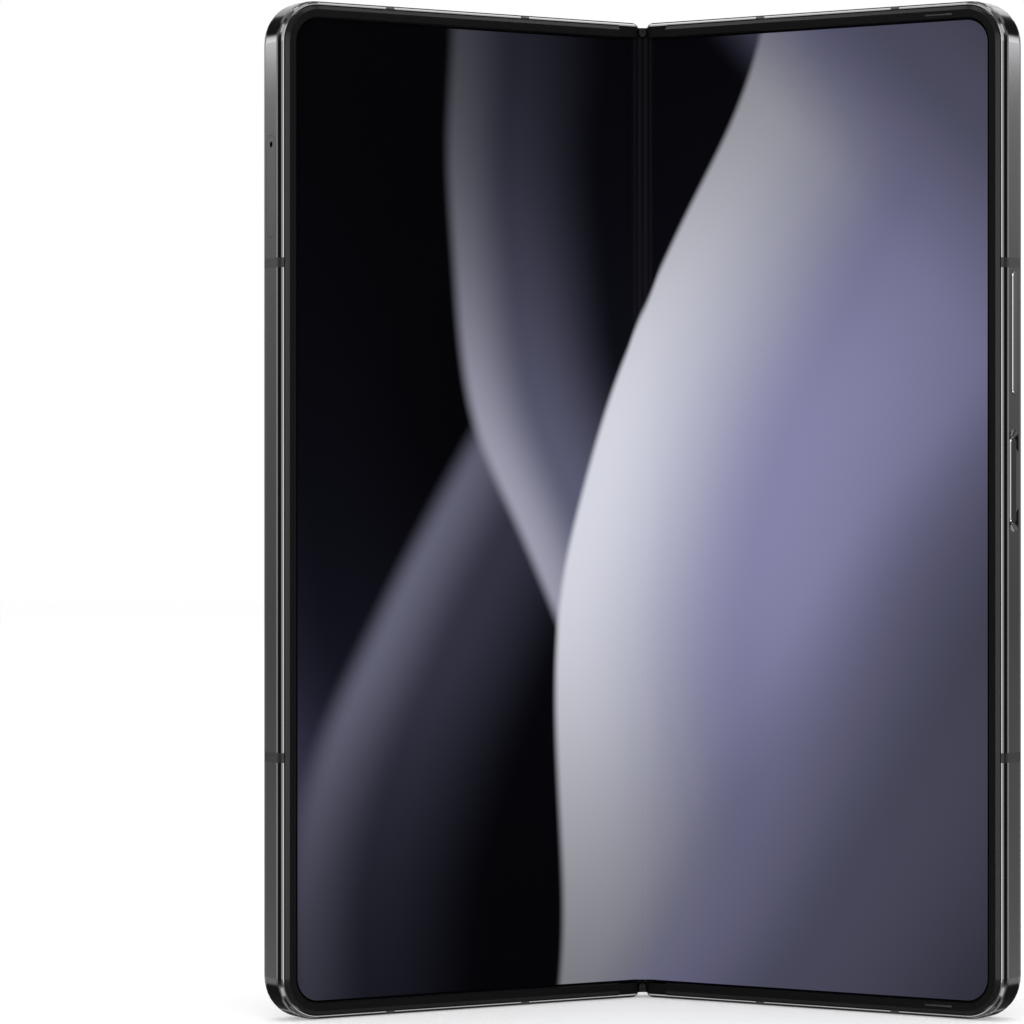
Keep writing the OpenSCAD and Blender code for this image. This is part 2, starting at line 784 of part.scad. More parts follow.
module camera_island() {
    top = half_t + island_h;
    inner = island_r - island_step;
    color("#23241f") right_half() difference() {
        stadium_solid([[0, glass_w - 0.2], [island_foot, glass_w - 0.2], [island_foot, half_t],
            [island_r, half_t], [island_r, half_t + 0.2], [island_r - 0.3, half_t + 0.5],
            [inner + 0.5, half_t + 0.5], [inner + 0.3, half_t + 0.25], [inner + 0.1, half_t + 0.25],
            [inner, top - 0.15], [inner - 0.15, top], [0, top]]);
        cam_places() translate([0, 0, glass_w - 1]) cylinder(h = 3, r = barrel_r + fit);
    }
}

// A lens ring: a plain outer wall with a rounded lip, and a seat for its cover lens
module camera_rings() {
    base = half_t + island_h;
    color("#7c7d80") right_half() cam_places() rotate_extrude() polygon(concat(
        [[barrel_r + fit, base], [ring_r, base], [ring_r, base + ring_h - 0.45]],
        [for (a = [15 : 15 : 90]) [ring_r - 0.5 + 0.5 * cos(a), base + ring_h - 0.45 + 0.45 * sin(a)]],
        [[ring_r - 0.75, base + ring_h], [ring_r - 0.95, base + ring_h - 0.3],
            [barrel_r + fit, base + ring_h - 0.3]]));
}

module camera_cover_lenses() {
    top = half_t + island_h + ring_h - 0.35;
    color("#0d0e12") right_half() cam_places()
        translate([0, 0, top - 0.3]) cylinder(h = 0.3, r = barrel_r);
}

// The camera units: a square body on the board and a barrel with a deep funnel
funnel_deep = 1.9;
funnel_r = 2.3;
funnel_flare = 1.35;
funnel_top = half_t + island_h + ring_h - 0.7;
module camera_modules() {
    low = mid_back + fit;
    color("#141416") right_half() cam_places() difference() {
        union() {
            translate([-cam_body / 2, -cam_body / 2, low]) cube([cam_body, cam_body, glass_w - 0.35 - low]);
            translate([0, 0, low]) cylinder(h = funnel_top - low, r = barrel_r);
        }
        translate([0, 0, funnel_top - funnel_deep]) cylinder(h = funnel_deep + eps,
            r1 = funnel_r, r2 = funnel_r + (funnel_deep + eps) * funnel_flare);
    }
}

// The front lens of each camera, domed, at the bottom of its funnel
module camera_lens_elements() {
    base = funnel_top - funnel_deep;
    edge_h = 0.15;
    dome_h = 0.7;
    color("#2b2a45") right_half() cam_places() rotate_extrude() polygon(concat([[0, base]],
        [for (a = [0 : 15 : 75]) [(funnel_r - 0.1) * cos(a), base + edge_h + dome_h * sin(a)]],
        [[0, base + edge_h + dome_h]]));
}

module flash_lens() {
    color("#e8dfc4") right_half() translate([flash_u, glass_w - 0.4, flash_z]) rotate([-90, 0, 0])
        cylinder(h = glass_t + 0.4, r = flash_r);
}

// ---- Keys ----

volume_key_l = volume_l - 0.2;
volume_key_w = volume_w - 0.2;
power_key_l = power_l - 2.2;
power_key_w = power_w - 1;
flange_t = 0.5;
flange_over = 0.5;
inside_u = half_w - wall;
rock_play = 0.22;
key_room_u = inside_u - rock_play - flange_t - key_travel - fit;
key_chamfer = 0.15;

// A slot shape that narrows evenly by the inset, long in z, from u0 to u1
module narrowing_slot(z, l, w, inset, u0, u1) {
    reach = (l - w) / 2;
    h = u1 - u0;
    translate([u0, side_mid, z]) rotate([0, 90, 0]) {
        for (s = [-1, 1]) translate([s * reach, 0, 0]) cylinder(h = h, r1 = w / 2, r2 = w / 2 - inset);
        rotate([90, 0, 90]) linear_extrude(2 * reach, center = true)
            polygon([[-w / 2, 0], [w / 2, 0], [w / 2 - inset, h], [-w / 2 + inset, h]]);
    }
}

// A key: a cap with round ends through the frame's wall, and a flange inside that holds it
module key(z, l, w, out_u, play) {
    side_slot(z, l, w, inside_u - play - flange_t, out_u - key_chamfer);
    narrowing_slot(z, l, w, key_chamfer, out_u - key_chamfer, out_u);
    side_slot(z, l + 2 * flange_over, w + 2 * flange_over, inside_u - play - flange_t, inside_u - play);
}

// The room that a key's flange moves in, where it dips into the frame's plate
module flange_room(z, l, w) {
    side_slot(z, l + 2 * flange_over + 4 * fit, w + 2 * flange_over + 4 * fit, key_room_u, inside_u);
}

module power_key() {
    color("#2a2b2d") right_half() key(power_z, power_key_l, power_key_w, half_w - key_in, fit);
}

module volume_key() {
    color("#2a2b2d") right_half() key(volume_z, volume_key_l, volume_key_w, half_w + key_out, rock_play);
}

// The dome switches behind the keys, on one narrow board
module key_switches() {
    board_u = key_room_u - 0.6;
    dome_u = key_room_u - 0.25;
    color("#8a7a4a") right_half() {
        block([board_u - 0.4, mid_back, power_z - 4], [board_u, glass_w - 0.4, volume_z + 9]);
        for (z = [power_z, volume_z - 6.5, volume_z + 6.5]) {
            reach = z == power_z ? rock_play - fit : 0;
            block([board_u, side_mid - 1, z - 1.5], [dome_u, side_mid + 1, z + 1.5]);
            translate([dome_u, side_mid, z]) rotate([0, 90, 0])
                cylinder(h = key_room_u - dome_u + reach, r = 0.6, $fn = 24);
        }
    }
}

// ---- Tray ----

sim_face_t = 0.9;
sim_plate_t = 0.8;
sim_u = half_w - sim_face_t - tray_deep;
sim_room = 0.12;
sim_low = tray_z - tray_l / 2 + 1.5;
sim_high = tray_z + tray_l / 2 - 2.6;
module sim_tray() {
    low = side_mid - sim_plate_t / 2;
    color("#303133") left_half() difference() {
        union() {
            side_slot(tray_z, tray_l, tray_w, half_w - sim_face_t, half_w);
            block([sim_u, low, sim_low], [half_w - sim_face_t, low + sim_plate_t, sim_high]);
        }
        translate([half_w - 2, side_mid, tray_z + tray_l / 2 - 1.35]) rotate([0, 90, 0])
            cylinder(h = 3, r = eject_r, $fn = 24);
        block([sim_u + 1, low - eps, tray_z - 4.6], [sim_u + 13.5, low + sim_plate_t + eps, tray_z + 4.4]);
    }
}

module sim_card() {
    low = side_mid - sim_plate_t / 2;
    color("#d8d2b0") left_half() difference() {
        block([sim_u + 1.05, low, tray_z - 4.55], [sim_u + 13.35, low + 0.67, tray_z + 4.25]);
        translate([sim_u + 13.35, low - eps, tray_z - 4.55]) rotate([0, 45, 0])
            translate([-1, 0, -1]) cube([2, 2, 2]);
    }
}

// The sheet metal guide that the tray slides in, with a floor and two sides
module sim_slot() {
    low = side_mid - sim_plate_t / 2 - sim_room;
    high = side_mid + sim_plate_t / 2 + sim_room;
    z0 = sim_low - sim_room;
    z1 = sim_high + sim_room;
    color("#b4b6b9") left_half() difference() {
        block([sim_u - 1.2, low - 0.3, z0 - 0.4], [inside_u - 0.3, high + 0.3, z1 + 0.4]);
        block([sim_u - 0.6, low, z0], [half_w, high, z1]);
        block([sim_u + 4, high - eps, z0 + 2], [inside_u - 4, high + 2, z1 - 2]);
    }
}

// ---- Sockets and inner pieces ----

usb_wall = 0.3;
usb_front = 0.25;
usb_back = usb_front + usb_l;
mic_u = [usb_u + 9.5];
mic_r = 0.5;
grille_u = 27;
grille_l = 1.9;
grille_w = 1.1;

// The charging socket: a shell with a flared mouth and a contact tongue
module usb_port() {
    color("#a5a7aa") right_half() {
        difference() {
            end_slot(usb_u, usb_w + 2 * usb_wall, usb_h + 2 * usb_wall, usb_front, usb_back);
            end_slot(usb_u, usb_w, usb_h, 0, usb_back - 0.6);
        }
        block([usb_u - 3.35, side_mid - 0.35, 1.6], [usb_u + 3.35, side_mid + 0.35, usb_back - 0.3]);
        block([usb_u - 5.5, side_mid + usb_h / 2 + usb_wall - 0.05, wall + 0.6],
            [usb_u + 5.5, side_mid + usb_h / 2 + usb_wall + 0.5, usb_back]);
    }
}

cell_high = phone_h - board_room;
cell_back = glass_w - 0.75;
cell_in_u = pocket_u + 7;
cell_out_u = inside_u - 3.2;
cell_r = 1.2;
cell_tab = 1.5;
// A pouch cell with the folded tab at its upper end
module cell() {
    deep(mid_back, cell_back) round_rect([cell_in_u, cell_low], [cell_out_u, cell_high], cell_r, cell_r);
    block([cell_in_u + 2, mid_back, cell_high], [cell_out_u - 12, cell_back - 1.2, cell_high + cell_tab]);
}

module right_battery() {
    color("#26282b") right_half() cell();
}

module left_battery() {
    color("#26282b") left_half() cell();
}

coil_u = (cell_in_u + cell_out_u) / 2;
coil_edge = 1.5;
coil_band = 10;
// The charging coil's flat ring on the battery, with its shield behind
module charging_coil() {
    color("#b0703c") right_half() translate([coil_u, cell_back, (cell_low + cell_high) / 2])
        rotate([-90, 0, 0]) {
            cylinder(h = 0.25, r = coil_r);
            difference() {
                cylinder(h = 0.6, r = coil_r - coil_edge);
                translate([0, 0, -1]) cylinder(h = 3, r = coil_r - coil_edge - coil_band);
            }
        }
}

board_t = 0.8;
board_w = mid_back + 1.1;
module main_board() {
    u1 = island_u - cam_body / 2 - 0.4;
    color("#1f4a3a") right_half() {
        block([cell_in_u, board_w, cell_high + 3], [u1, board_w + board_t, phone_h - wall - 1.2]);
        block([u1, board_w, cell_high + 3],
            [cell_out_u, board_w + board_t, island_z - (cam_n - 1) * cam_step / 2 - cam_body / 2 - 0.4]);
        for (z = [cell_high + 5, cell_high + 23, cell_high + 41])
            block([cell_in_u + 2, board_w + board_t, z], [u1 - 6, cell_back, z + 15]);
        for (z = [cell_high + 6, cell_high + 34])
            block([cell_in_u + 2, mid_back, z], [u1 - 4, board_w, z + 20]);
    }
}

module sub_board() {
    color("#1f4a3a") left_half() {
        block([cell_in_u, board_w, cell_high + 3],
            [sim_u - 2, board_w + board_t, phone_h - speaker_top - 0.4]);
        for (z = [cell_high + 6, cell_high + 26])
            block([cell_in_u + 2, mid_back, z], [sim_u - 6, board_w, z + 14]);
    }
}

cover_back = glass_w;
cover_front = glass_w - 0.7;
cover_cam_u = half_w / 2 + 2;
cover_cam_z = phone_h - 7.4;
module cover_glass() {
    color("#0b0b0d") left_half() back_glass();
}

// The screen on the outside of the left half, laid against its glass
module cover_display() {
    color("#101116") left_half() difference() {
        deep(cover_front, cover_back) round_rect([pocket_u + 0.2, rim_w], [half_w - rim_w, phone_h - rim_w],
            notch_r, corner_r - rim_w);
        translate([cover_cam_u, cover_front - eps, cover_cam_z]) rotate([-90, 0, 0])
            cylinder(h = 2, r = 1.9);
    }
}

module cover_camera() {
    color("#141416") left_half() translate([cover_cam_u, mid_back, cover_cam_z]) rotate([-90, 0, 0]) {
        translate([-2.6, -2.6, 0]) cube([5.2, 5.2, 1.9]);
        difference() {
            cylinder(h = cover_back - 0.1 - mid_back, r = 1.75);
            translate([0, 0, cover_back - 0.9 - mid_back]) cylinder(h = 1, r1 = 0.7, r2 = 1.6);
        }
    }
}

speaker_z = 4.6;
speaker_top = 12;
// A speaker at each end of the left half, with a duct to its grille
module speakers() {
    duct_l = (grille_n - 1) * grille_step + grille_l + 0.6;
    duct_u = grille_u + (grille_n - 1) * grille_step / 2;
    color("#2b2b2e") left_half() both_ends() difference() {
        union() {
            block([pocket_u + 7.5, mid_back, speaker_z], [cover_cam_u - 3, cover_front - 0.1, speaker_top]);
            block([duct_u - duct_l / 2, side_mid - 1, wall],
                [duct_u + duct_l / 2, side_mid + 1, speaker_z]);
        }
        block([duct_u - duct_l / 2 + 0.3, side_mid - grille_w / 2, wall - eps],
            [duct_u + duct_l / 2 - 0.3, side_mid + grille_w / 2, speaker_z - 0.4]);
        block([duct_u - duct_l / 2 + 0.3, side_mid - grille_w / 2, speaker_z - eps],
            [cover_cam_u - 4, side_mid + grille_w / 2, speaker_z + 1.5]);
    }
}

module vibration_motor() {
    color("#a9abae") left_half() block([inside_u - 16, mid_back, 6], [inside_u - 6, mid_back + 2.6, 16]);
}

// Magnets that hold the phone shut, in the outer edges of both halves
magnet_room = 8.2;
module magnets() {
    top = power_z - power_l / 2 - magnet_room;
    for (z = [top - magnet_l, top - 2 * magnet_l - magnet_gap])
        block([inside_u - 2.6, mid_back, z], [inside_u - 0.2, mid_back + 1.2, z + magnet_l]);
}

module right_magnets() {
    color("#9c9ea1") right_half() magnets();
}

module left_magnets() {
    color("#9c9ea1") left_half() magnets();
}

// Close-wound springs past the outer gears that press the fold's friction discs together
spring_r = 1.25;
spring_wire = 0.45;
spring_turns = 14;
spring_step = 0.85;
module hinge_springs() {
    turn = [[-0.3, 0], [-0.05, 0.2], [0, 0.5], [-0.05, 0.8]];
    color("#c2c4c7") in_place() both_ends() mirror_pair()
        translate([gear_u - 0.2, gear_w, block_z + housing_l + 0.3]) rotate_extrude($fn = 32)
            polygon(concat([for (k = [0 : spring_turns - 1], p = turn)
                [spring_r + p[0] * spring_wire, (k + p[1]) * spring_step]],
                [[spring_r - spring_wire, spring_turns * spring_step], [spring_r - spring_wire, 0]]));
}

spine_cover();
spine_end_caps();
hinge_housings();
hinge_centre_plate();
hinge_shafts();
hinge_springs();
display_fold();
right_frame();
right_antenna_bands();
right_bezel();
right_fold_guards();
display_right();
right_wing_plate();
right_slide_brackets();
rear_glass();
camera_island();
camera_rings();
camera_cover_lenses();
camera_modules();
camera_lens_elements();
flash_lens();
key_switches();
usb_port();
right_battery();
main_board();
charging_coil();
right_magnets();
power_key();
volume_key();
left_frame();
left_antenna_bands();
left_bezel();
left_fold_guards();
display_left();
left_wing_plate();
left_slide_brackets();
cover_glass();
cover_display();
cover_camera();
left_battery();
sub_board();
speakers();
vibration_motor();
left_magnets();
sim_slot();
sim_tray();
sim_card();
right_sync_arms();
left_sync_arms();
right_idler_gears();
left_idler_gears();
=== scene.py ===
import json
import math

import bpy
import bmesh
from mathutils import Matrix, Vector


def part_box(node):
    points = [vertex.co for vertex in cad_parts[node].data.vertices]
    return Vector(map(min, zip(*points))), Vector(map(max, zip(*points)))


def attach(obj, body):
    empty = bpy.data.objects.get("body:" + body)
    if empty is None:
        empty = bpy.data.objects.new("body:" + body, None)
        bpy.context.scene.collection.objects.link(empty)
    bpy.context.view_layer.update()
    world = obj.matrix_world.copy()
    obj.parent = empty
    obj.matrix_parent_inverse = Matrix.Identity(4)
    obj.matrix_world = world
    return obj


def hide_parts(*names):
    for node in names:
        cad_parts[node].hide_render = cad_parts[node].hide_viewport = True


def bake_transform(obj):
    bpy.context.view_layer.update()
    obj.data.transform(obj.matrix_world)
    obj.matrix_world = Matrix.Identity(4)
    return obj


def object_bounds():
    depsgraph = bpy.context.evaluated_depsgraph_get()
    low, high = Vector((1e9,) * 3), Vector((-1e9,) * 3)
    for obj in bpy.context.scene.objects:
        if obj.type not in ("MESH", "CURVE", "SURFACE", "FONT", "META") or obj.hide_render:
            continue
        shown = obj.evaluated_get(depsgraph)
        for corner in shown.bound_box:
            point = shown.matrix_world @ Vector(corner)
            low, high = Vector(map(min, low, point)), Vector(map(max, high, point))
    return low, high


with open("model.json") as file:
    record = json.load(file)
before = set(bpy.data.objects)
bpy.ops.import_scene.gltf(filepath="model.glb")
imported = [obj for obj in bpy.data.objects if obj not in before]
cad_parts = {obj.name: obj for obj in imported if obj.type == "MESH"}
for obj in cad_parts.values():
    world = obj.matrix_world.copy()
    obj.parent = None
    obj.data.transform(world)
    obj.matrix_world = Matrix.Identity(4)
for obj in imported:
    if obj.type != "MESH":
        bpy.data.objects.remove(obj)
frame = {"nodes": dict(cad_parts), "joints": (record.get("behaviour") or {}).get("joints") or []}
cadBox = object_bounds()
nodes = frame["nodes"]
joints = {joint["name"]: joint for joint in frame["joints"]}
print("frame loaded:", len(nodes), "parts")

# Lengths are in metres. u runs outward from the spine and w from the front face to the back.
phone = {
    "halfWidth": 0.06495,
    "thickness": 0.0061,
    "cornerRadius": 0.0065,
    "rimWidth": 0.00265,
    "axisDepth": 0.001125,  # the fold axes lie this far behind the front faces
}
foldAxis = Vector(joints["fold_right"]["pos_m"])
lean = -math.radians(joints["fold_right"]["range_deg"][0])
phoneHeight = cadBox[1].z - cadBox[0].z


def halfPlace(side):
    # Takes a point of a flat half (u, w, z) to where the half stands. side is 1 right, -1 left.
    stand = Matrix.Translation((foldAxis.x, foldAxis.y, 0)) @ Matrix.Rotation(-lean, 4, "Z")
    stand = stand @ Matrix.Translation((-foldAxis.x, -phone["axisDepth"], 0))
    return Matrix.Diagonal((side, 1, 1, 1)) @ stand


# Helpers for nodes, materials and objects

def newMaterial(name):
    material = bpy.data.materials.new(name)
    material.use_nodes = True
    tree = material.node_tree
    return material, tree, tree.nodes["Principled BSDF"]


def setSockets(shader, **values):
    for name, value in values.items():
        socket = shader.inputs[name.replace("_", " ")]
        socket.default_value = (*value, 1) if isinstance(value, tuple) else value


def feed(tree, value, socket):
    # A number or a colour is set on the socket, and anything else is linked to it
    if isinstance(value, (int, float)):
        socket.default_value = value
    elif isinstance(value, tuple):
        socket.default_value = (*value, 1)
    else:
        tree.links.new(value, socket)


def calc(tree, operation, first, second=None, third=None, clamp=False):
    node = tree.nodes.new("ShaderNodeMath")
    node.operation = operation
    node.use_clamp = clamp
    for index, value in enumerate((first, second, third)):
        if value is not None:
            feed(tree, value, node.inputs[index])
    return node.outputs[0]


def ramp(tree, factor, stops, smooth=True):
    node = tree.nodes.new("ShaderNodeValToRGB")
    node.color_ramp.interpolation = "EASE" if smooth else "LINEAR"
    points = node.color_ramp.elements
    while len(points) > 1:
        points.remove(points[-1])
    for index, (place, colour) in enumerate(stops):
        point = points[0] if index == 0 else points.new(place)
        point.position = place
        point.color = (*colour, 1) if isinstance(colour, tuple) else (colour, colour, colour, 1)
    tree.links.new(factor, node.inputs[0])
    return node.outputs[0]


def mixColour(tree, factor, first, second):
    node = tree.nodes.new("ShaderNodeMix")
    node.data_type = "RGBA"
    # The colour version of this node has its sockets at 6 and 7, and its result at 2
    for value, index in ((factor, 0), (first, 6), (second, 7)):
        feed(tree, value, node.inputs[index])
    return node.outputs[2]


def newGroup(name, inputs, outputs):
    group = bpy.data.node_groups.new(name, "ShaderNodeTree")
    for socketName, kind, value in inputs:
        socket = group.interface.new_socket(socketName, in_out="INPUT", socket_type=kind)
        if value is not None:
            socket.default_value = value
    for socketName, kind in outputs:
        group.interface.new_socket(socketName, in_out="OUTPUT", socket_type=kind)
    return group, group.nodes.new("NodeGroupInput"), group.nodes.new("NodeGroupOutput")


def placeGroup(tree, group, **values):
    node = tree.nodes.new("ShaderNodeGroup")
    node.node_tree = group
    for name, value in values.items():
        node.inputs[name].default_value = value
    return node


def restPoint(tree):
    # Position on the part as it was drawn, which keeps still on it while it moves
    return tree.nodes.new("ShaderNodeTexCoord").outputs["Object"]


def splitPlace(tree, place):
    node = tree.nodes.new("ShaderNodeSeparateXYZ")
    tree.links.new(place, node.inputs[0])
    return node.outputs


def noise(tree, place, scale, detail=2, distortion=0):
    node = tree.nodes.new("ShaderNodeTexNoise")
    tree.links.new(place, node.inputs["Vector"])
    for name, value in (("Scale", scale), ("Detail", detail), ("Distortion", distortion)):
        feed(tree, value, node.inputs[name])
    return node.outputs["Fac"]


def cellDistance(tree, scale, randomness=1):
    node = tree.nodes.new("ShaderNodeTexVoronoi")
    tree.links.new(restPoint(tree), node.inputs["Vector"])
    node.inputs["Scale"].default_value = scale
    node.inputs["Randomness"].default_value = randomness
    return node.outputs["Distance"]


def shades(colour, low, high):
    # A colour made darker and lighter by the two shares
    return (tuple(min(c * low, 1) for c in colour), tuple(min(c * high, 1) for c in colour))


def addObject(name, data):
    thing = bpy.data.objects.new(name, data)
    bpy.context.scene.collection.objects.link(thing)
    return thing


def addFlat(name, halfAcross, halfUp, material):
    mesh = bpy.data.meshes.new(name)
    mesh.from_pydata([(-halfAcross, -halfUp, 0), (halfAcross, -halfUp, 0),
                      (halfAcross, halfUp, 0), (-halfAcross, halfUp, 0)], [], [(0, 1, 2, 3)])
    mesh.materials.append(material)
    return addObject(name, mesh)


# Camera, floor and light

camera = {
    "height": 0.07745,
    "distance": 0.6855,  # from the middle of the phone's footprint
    "lens": 154.8,
    "shiftX": -0.1275,
    "shiftY": -0.0018,
    "sensor": 36,
    "clip": (0.01, 50),
}


def makeCamera():
    data = bpy.data.cameras.new("standCamera")
    data.lens = camera["lens"]
    data.sensor_width = camera["sensor"]
    data.shift_x = camera["shiftX"]
    data.shift_y = camera["shiftY"]
    data.clip_start, data.clip_end = camera["clip"]
    shot = addObject("standCamera", data)
    shot.location = (0, -camera["distance"], camera["height"])
    shot.rotation_euler = (math.pi / 2, 0, 0)
    bpy.context.scene.camera = shot


def lightPathMask(tree):
    # 1 for what the camera sees directly, in a reflection or through glass
    path = tree.nodes.new("ShaderNodeLightPath")
    total = path.outputs["Is Camera Ray"]
    for name in ("Is Glossy Ray", "Is Transmission Ray"):
        total = calc(tree, "MAXIMUM", total, path.outputs[name])
    return total


studio = {
    "skyColour": (1, 1, 1),
    "skySeen": 1.0,
    "skyLight": 0.8,
    "floorSize": 6.0,
    "floorColour": (0.82, 0.82, 0.82),
    "floorRoughness": 0.7,
    "floorSpecular": 0.1,
    "floorGlow": 0.3,
}


def makeSky(tree, strength):
    sky = tree.nodes.new("ShaderNodeBackground")
    feed(tree, studio["skyColour"], sky.inputs["Color"])
    feed(tree, strength, sky.inputs["Strength"])
    return sky.outputs[0]


def makeWorld():
    world = bpy.data.worlds.new("softRoom")
    world.use_nodes = True
    tree = world.node_tree
    tree.nodes.clear()
    mix = tree.nodes.new("ShaderNodeMixShader")
    parts = (lightPathMask(tree), makeSky(tree, studio["skyLight"]), makeSky(tree, studio["skySeen"]))
    for index, part in enumerate(parts):
        tree.links.new(part, mix.inputs[index])
    out = tree.nodes.new("ShaderNodeOutputWorld")
    tree.links.new(mix.outputs[0], out.inputs[0])
    bpy.context.scene.world = world


def makeFloor():
    material, tree, shader = newMaterial("paleFloor")
    setSockets(shader, Base_Color=studio["floorColour"], Roughness=studio["floorRoughness"],
               Specular_IOR_Level=studio["floorSpecular"], Emission_Color=(1, 1, 1))
    glow = calc(tree, "MULTIPLY", lightPathMask(tree), studio["floorGlow"])
    tree.links.new(glow, shader.inputs["Emission Strength"])
    half = studio["floorSize"] / 2
    floor = addFlat("studioFloor", half, half, material)
    floor.visible_glossy = False  # so that the cards show in edges that face down


# Each lamp: place, point it faces, width, height, brightness of its face
lamps = {
    "overheadSoft": ((0, -0.15, 1.5), (0, 0, 0.05), 0.9, 0.6, 3.0),
    "rightFrontStrip": ((0.414, -1.14, 0.09), (0, 0, 0.08), 0.22, 0.6, 7.0),
    "leftFrontStrip": ((-0.414, -1.14, 0.09), (0, 0, 0.08), 0.22, 0.6, 7.0),
    "backSoft": ((0.3, 1.5, 1.2), (0, 0, 0.05), 1.2, 0.8, 0.6),
}


def makeLamps():
    for name, (place, target, width, height, level) in lamps.items():
        data = bpy.data.lights.new(name, "AREA")
        data.shape = "RECTANGLE"
        data.size = width
        data.size_y = height
        data.energy = level * math.pi * width * height
        lamp = addObject(name, data)
        lamp.location = place
        aim = Vector(target) - Vector(place)
        lamp.rotation_mode = "QUATERNION"
        lamp.rotation_quaternion = aim.to_track_quat("-Z", "Y")


# Upright cards round the phone, seen only in reflections, which draw the lines on polished edges.
# Each card stands at both sides: azimuth, width and heights in degrees as seen from the phone,
# then its tones from bottom to top. It fades out towards its borders.
cards = {
    "distance": 1.2,
    "level": 0.0775,
    "top": 8.0,  # the brightest tone, where 1 is white
    "fade": 12,  # how sharply the borders fade into the sky
    "shapes": {
        "gleam": (30, 16, -15, 16.4, ((0.0, 1.0), (0.14, 0.9), (0.23, 0.62), (0.42, 0.45),
                                      (0.608, 0.68), (0.703, 1.0), (0.733, 1.2), (0.744, 1.6),
                                      (0.753, 2.4), (0.759, 3.5), (0.766, 5.0), (1.0, 5.5))),
        "line": (17, 7, -11, 12, ((0.0, 2.5),)),
        "frontFaint": (-56, 9, -14, 13, ((0.0, 2.6),)),
        "frontHigh": (-64, 22, 14, 25, ((0.0, 6.0),)),
        "sideDark": (-15, 46, -22, 23, ((0.0, 0.06),)),
        "sideGlow": (-32, 54, 25, 43, ((0.0, 5.0),)),
        "sideLowGlow": (-32, 54, -43, -25, ((0.0, 5.0),)),
        "sideHighDark": (-10, 46, 44, 52, ((0.0, 0.06),)),
        "sideLowDark": (-10, 46, -62, -44, ((0.0, 0.06),)),
        "cornerDark": (41, 34, 17, 32, ((0.0, 0.05),)),
        "cornerLowDark": (45, 50, -34, -16, ((0.0, 0.05),)),
        "highGlow": (41, 24, 48, 66, ((0.0, 7.5),)),
        "underDark": (41, 26, -66, -46, ((0.0, 0.1),)),
        "backLowDark": (64, 54, -11, 10, ((0.0, 0.04),)),
        "backHighDark": (80, 22, 31, 50, ((0.0, 0.04),)),
        "backMiddleDark": (86, 10, 12, 30, ((0.0, 0.04),)),
        "backUnderDark": (80, 22, -50, -12, ((0.0, 0.06),)),
    },
}


def cardMaterial(width, height, tones):
    material, tree, shader = newMaterial("reflectionCard")
    setSockets(shader, Base_Color=(0, 0, 0), Specular_IOR_Level=0.0, Emission_Strength=cards["top"])
    place = splitPlace(tree, restPoint(tree))
    shares = []
    for axis, size in (("X", width), ("Y", height)):
        share = calc(tree, "DIVIDE", calc(tree, "ABSOLUTE", place[axis]), size / 2)
        shares.append(calc(tree, "POWER", share, cards["fade"]))
    border = calc(tree, "ADD", *shares, clamp=True)
    rise = calc(tree, "MULTIPLY_ADD", place["Y"], 1 / height, 0.5)
    body = ramp(tree, rise, [(share, tone / cards["top"]) for share, tone in tones], smooth=False)
    sky = 1 / cards["top"]
    tree.links.new(mixColour(tree, border, body, (sky, sky, sky)), shader.inputs["Emission Color"])
    return material


def cardHeight(elevation):
    return cards["level"] + cards["distance"] * math.tan(math.radians(elevation))


def makeCards():
    for name, (azimuth, width, low, high, tones) in cards["shapes"].items():
        across = 2 * cards["distance"] * math.tan(math.radians(width / 2))
        bottom, top = cardHeight(low), cardHeight(high)
        material = cardMaterial(across, top - bottom, tones)
        for side in (1, -1):
            card = addFlat(name, across / 2, (top - bottom) / 2, material)
            turn = math.radians(azimuth)
            outward = Vector((side * math.cos(turn), math.sin(turn), 0))
            card.location = outward * cards["distance"] + Vector((0, 0, (top + bottom) / 2))
            card.rotation_mode = "QUATERNION"
            card.rotation_quaternion = (-outward).to_track_quat("Z", "Y")
            for ray in ("camera", "diffuse", "transmission", "shadow"):
                setattr(card, "visible_" + ray, False)


makeCamera()
makeWorld()
makeFloor()
makeLamps()
makeCards()
bpy.context.scene.view_settings.view_transform = "Standard"
print("camera, floor and light are set")


# Shared effects, each a node group that materials place with their own values

def spreadRound(group, pattern, given):
    # Moves a pattern of 0 to 1 round the given middle, by the given spread
    offset = calc(group, "SUBTRACT", pattern, 0.5)
    return calc(group, "MULTIPLY_ADD", offset, given.outputs["Spread"], given.outputs["Middle"])


grainLook = {
    "scale": 6000.0,
    "spread": 0.1,
    "middle": 0.4,
    "detail": 3,
}


def makeGrain():
    # Fine even grain, as on bead-blasted or moulded surfaces
    group, given, out = newGroup(
        "fineGrain",
        [("Scale", "NodeSocketFloat", grainLook["scale"]),
         ("Spread", "NodeSocketFloat", grainLook["spread"]),
         ("Middle", "NodeSocketFloat", grainLook["middle"])],
        [("Height", "NodeSocketFloat"), ("Roughness", "NodeSocketFloat")])
    grain = noise(group, restPoint(group), given.outputs["Scale"], grainLook["detail"])
    group.links.new(grain, out.inputs["Height"])
    group.links.new(spreadRound(group, grain, given), out.inputs["Roughness"])
    return group


brushedLook = {
    "across": 9000.0,
    "along": 260.0,
    "spread": 0.1,
    "middle": 0.25,
    "toneScale": 45,
}


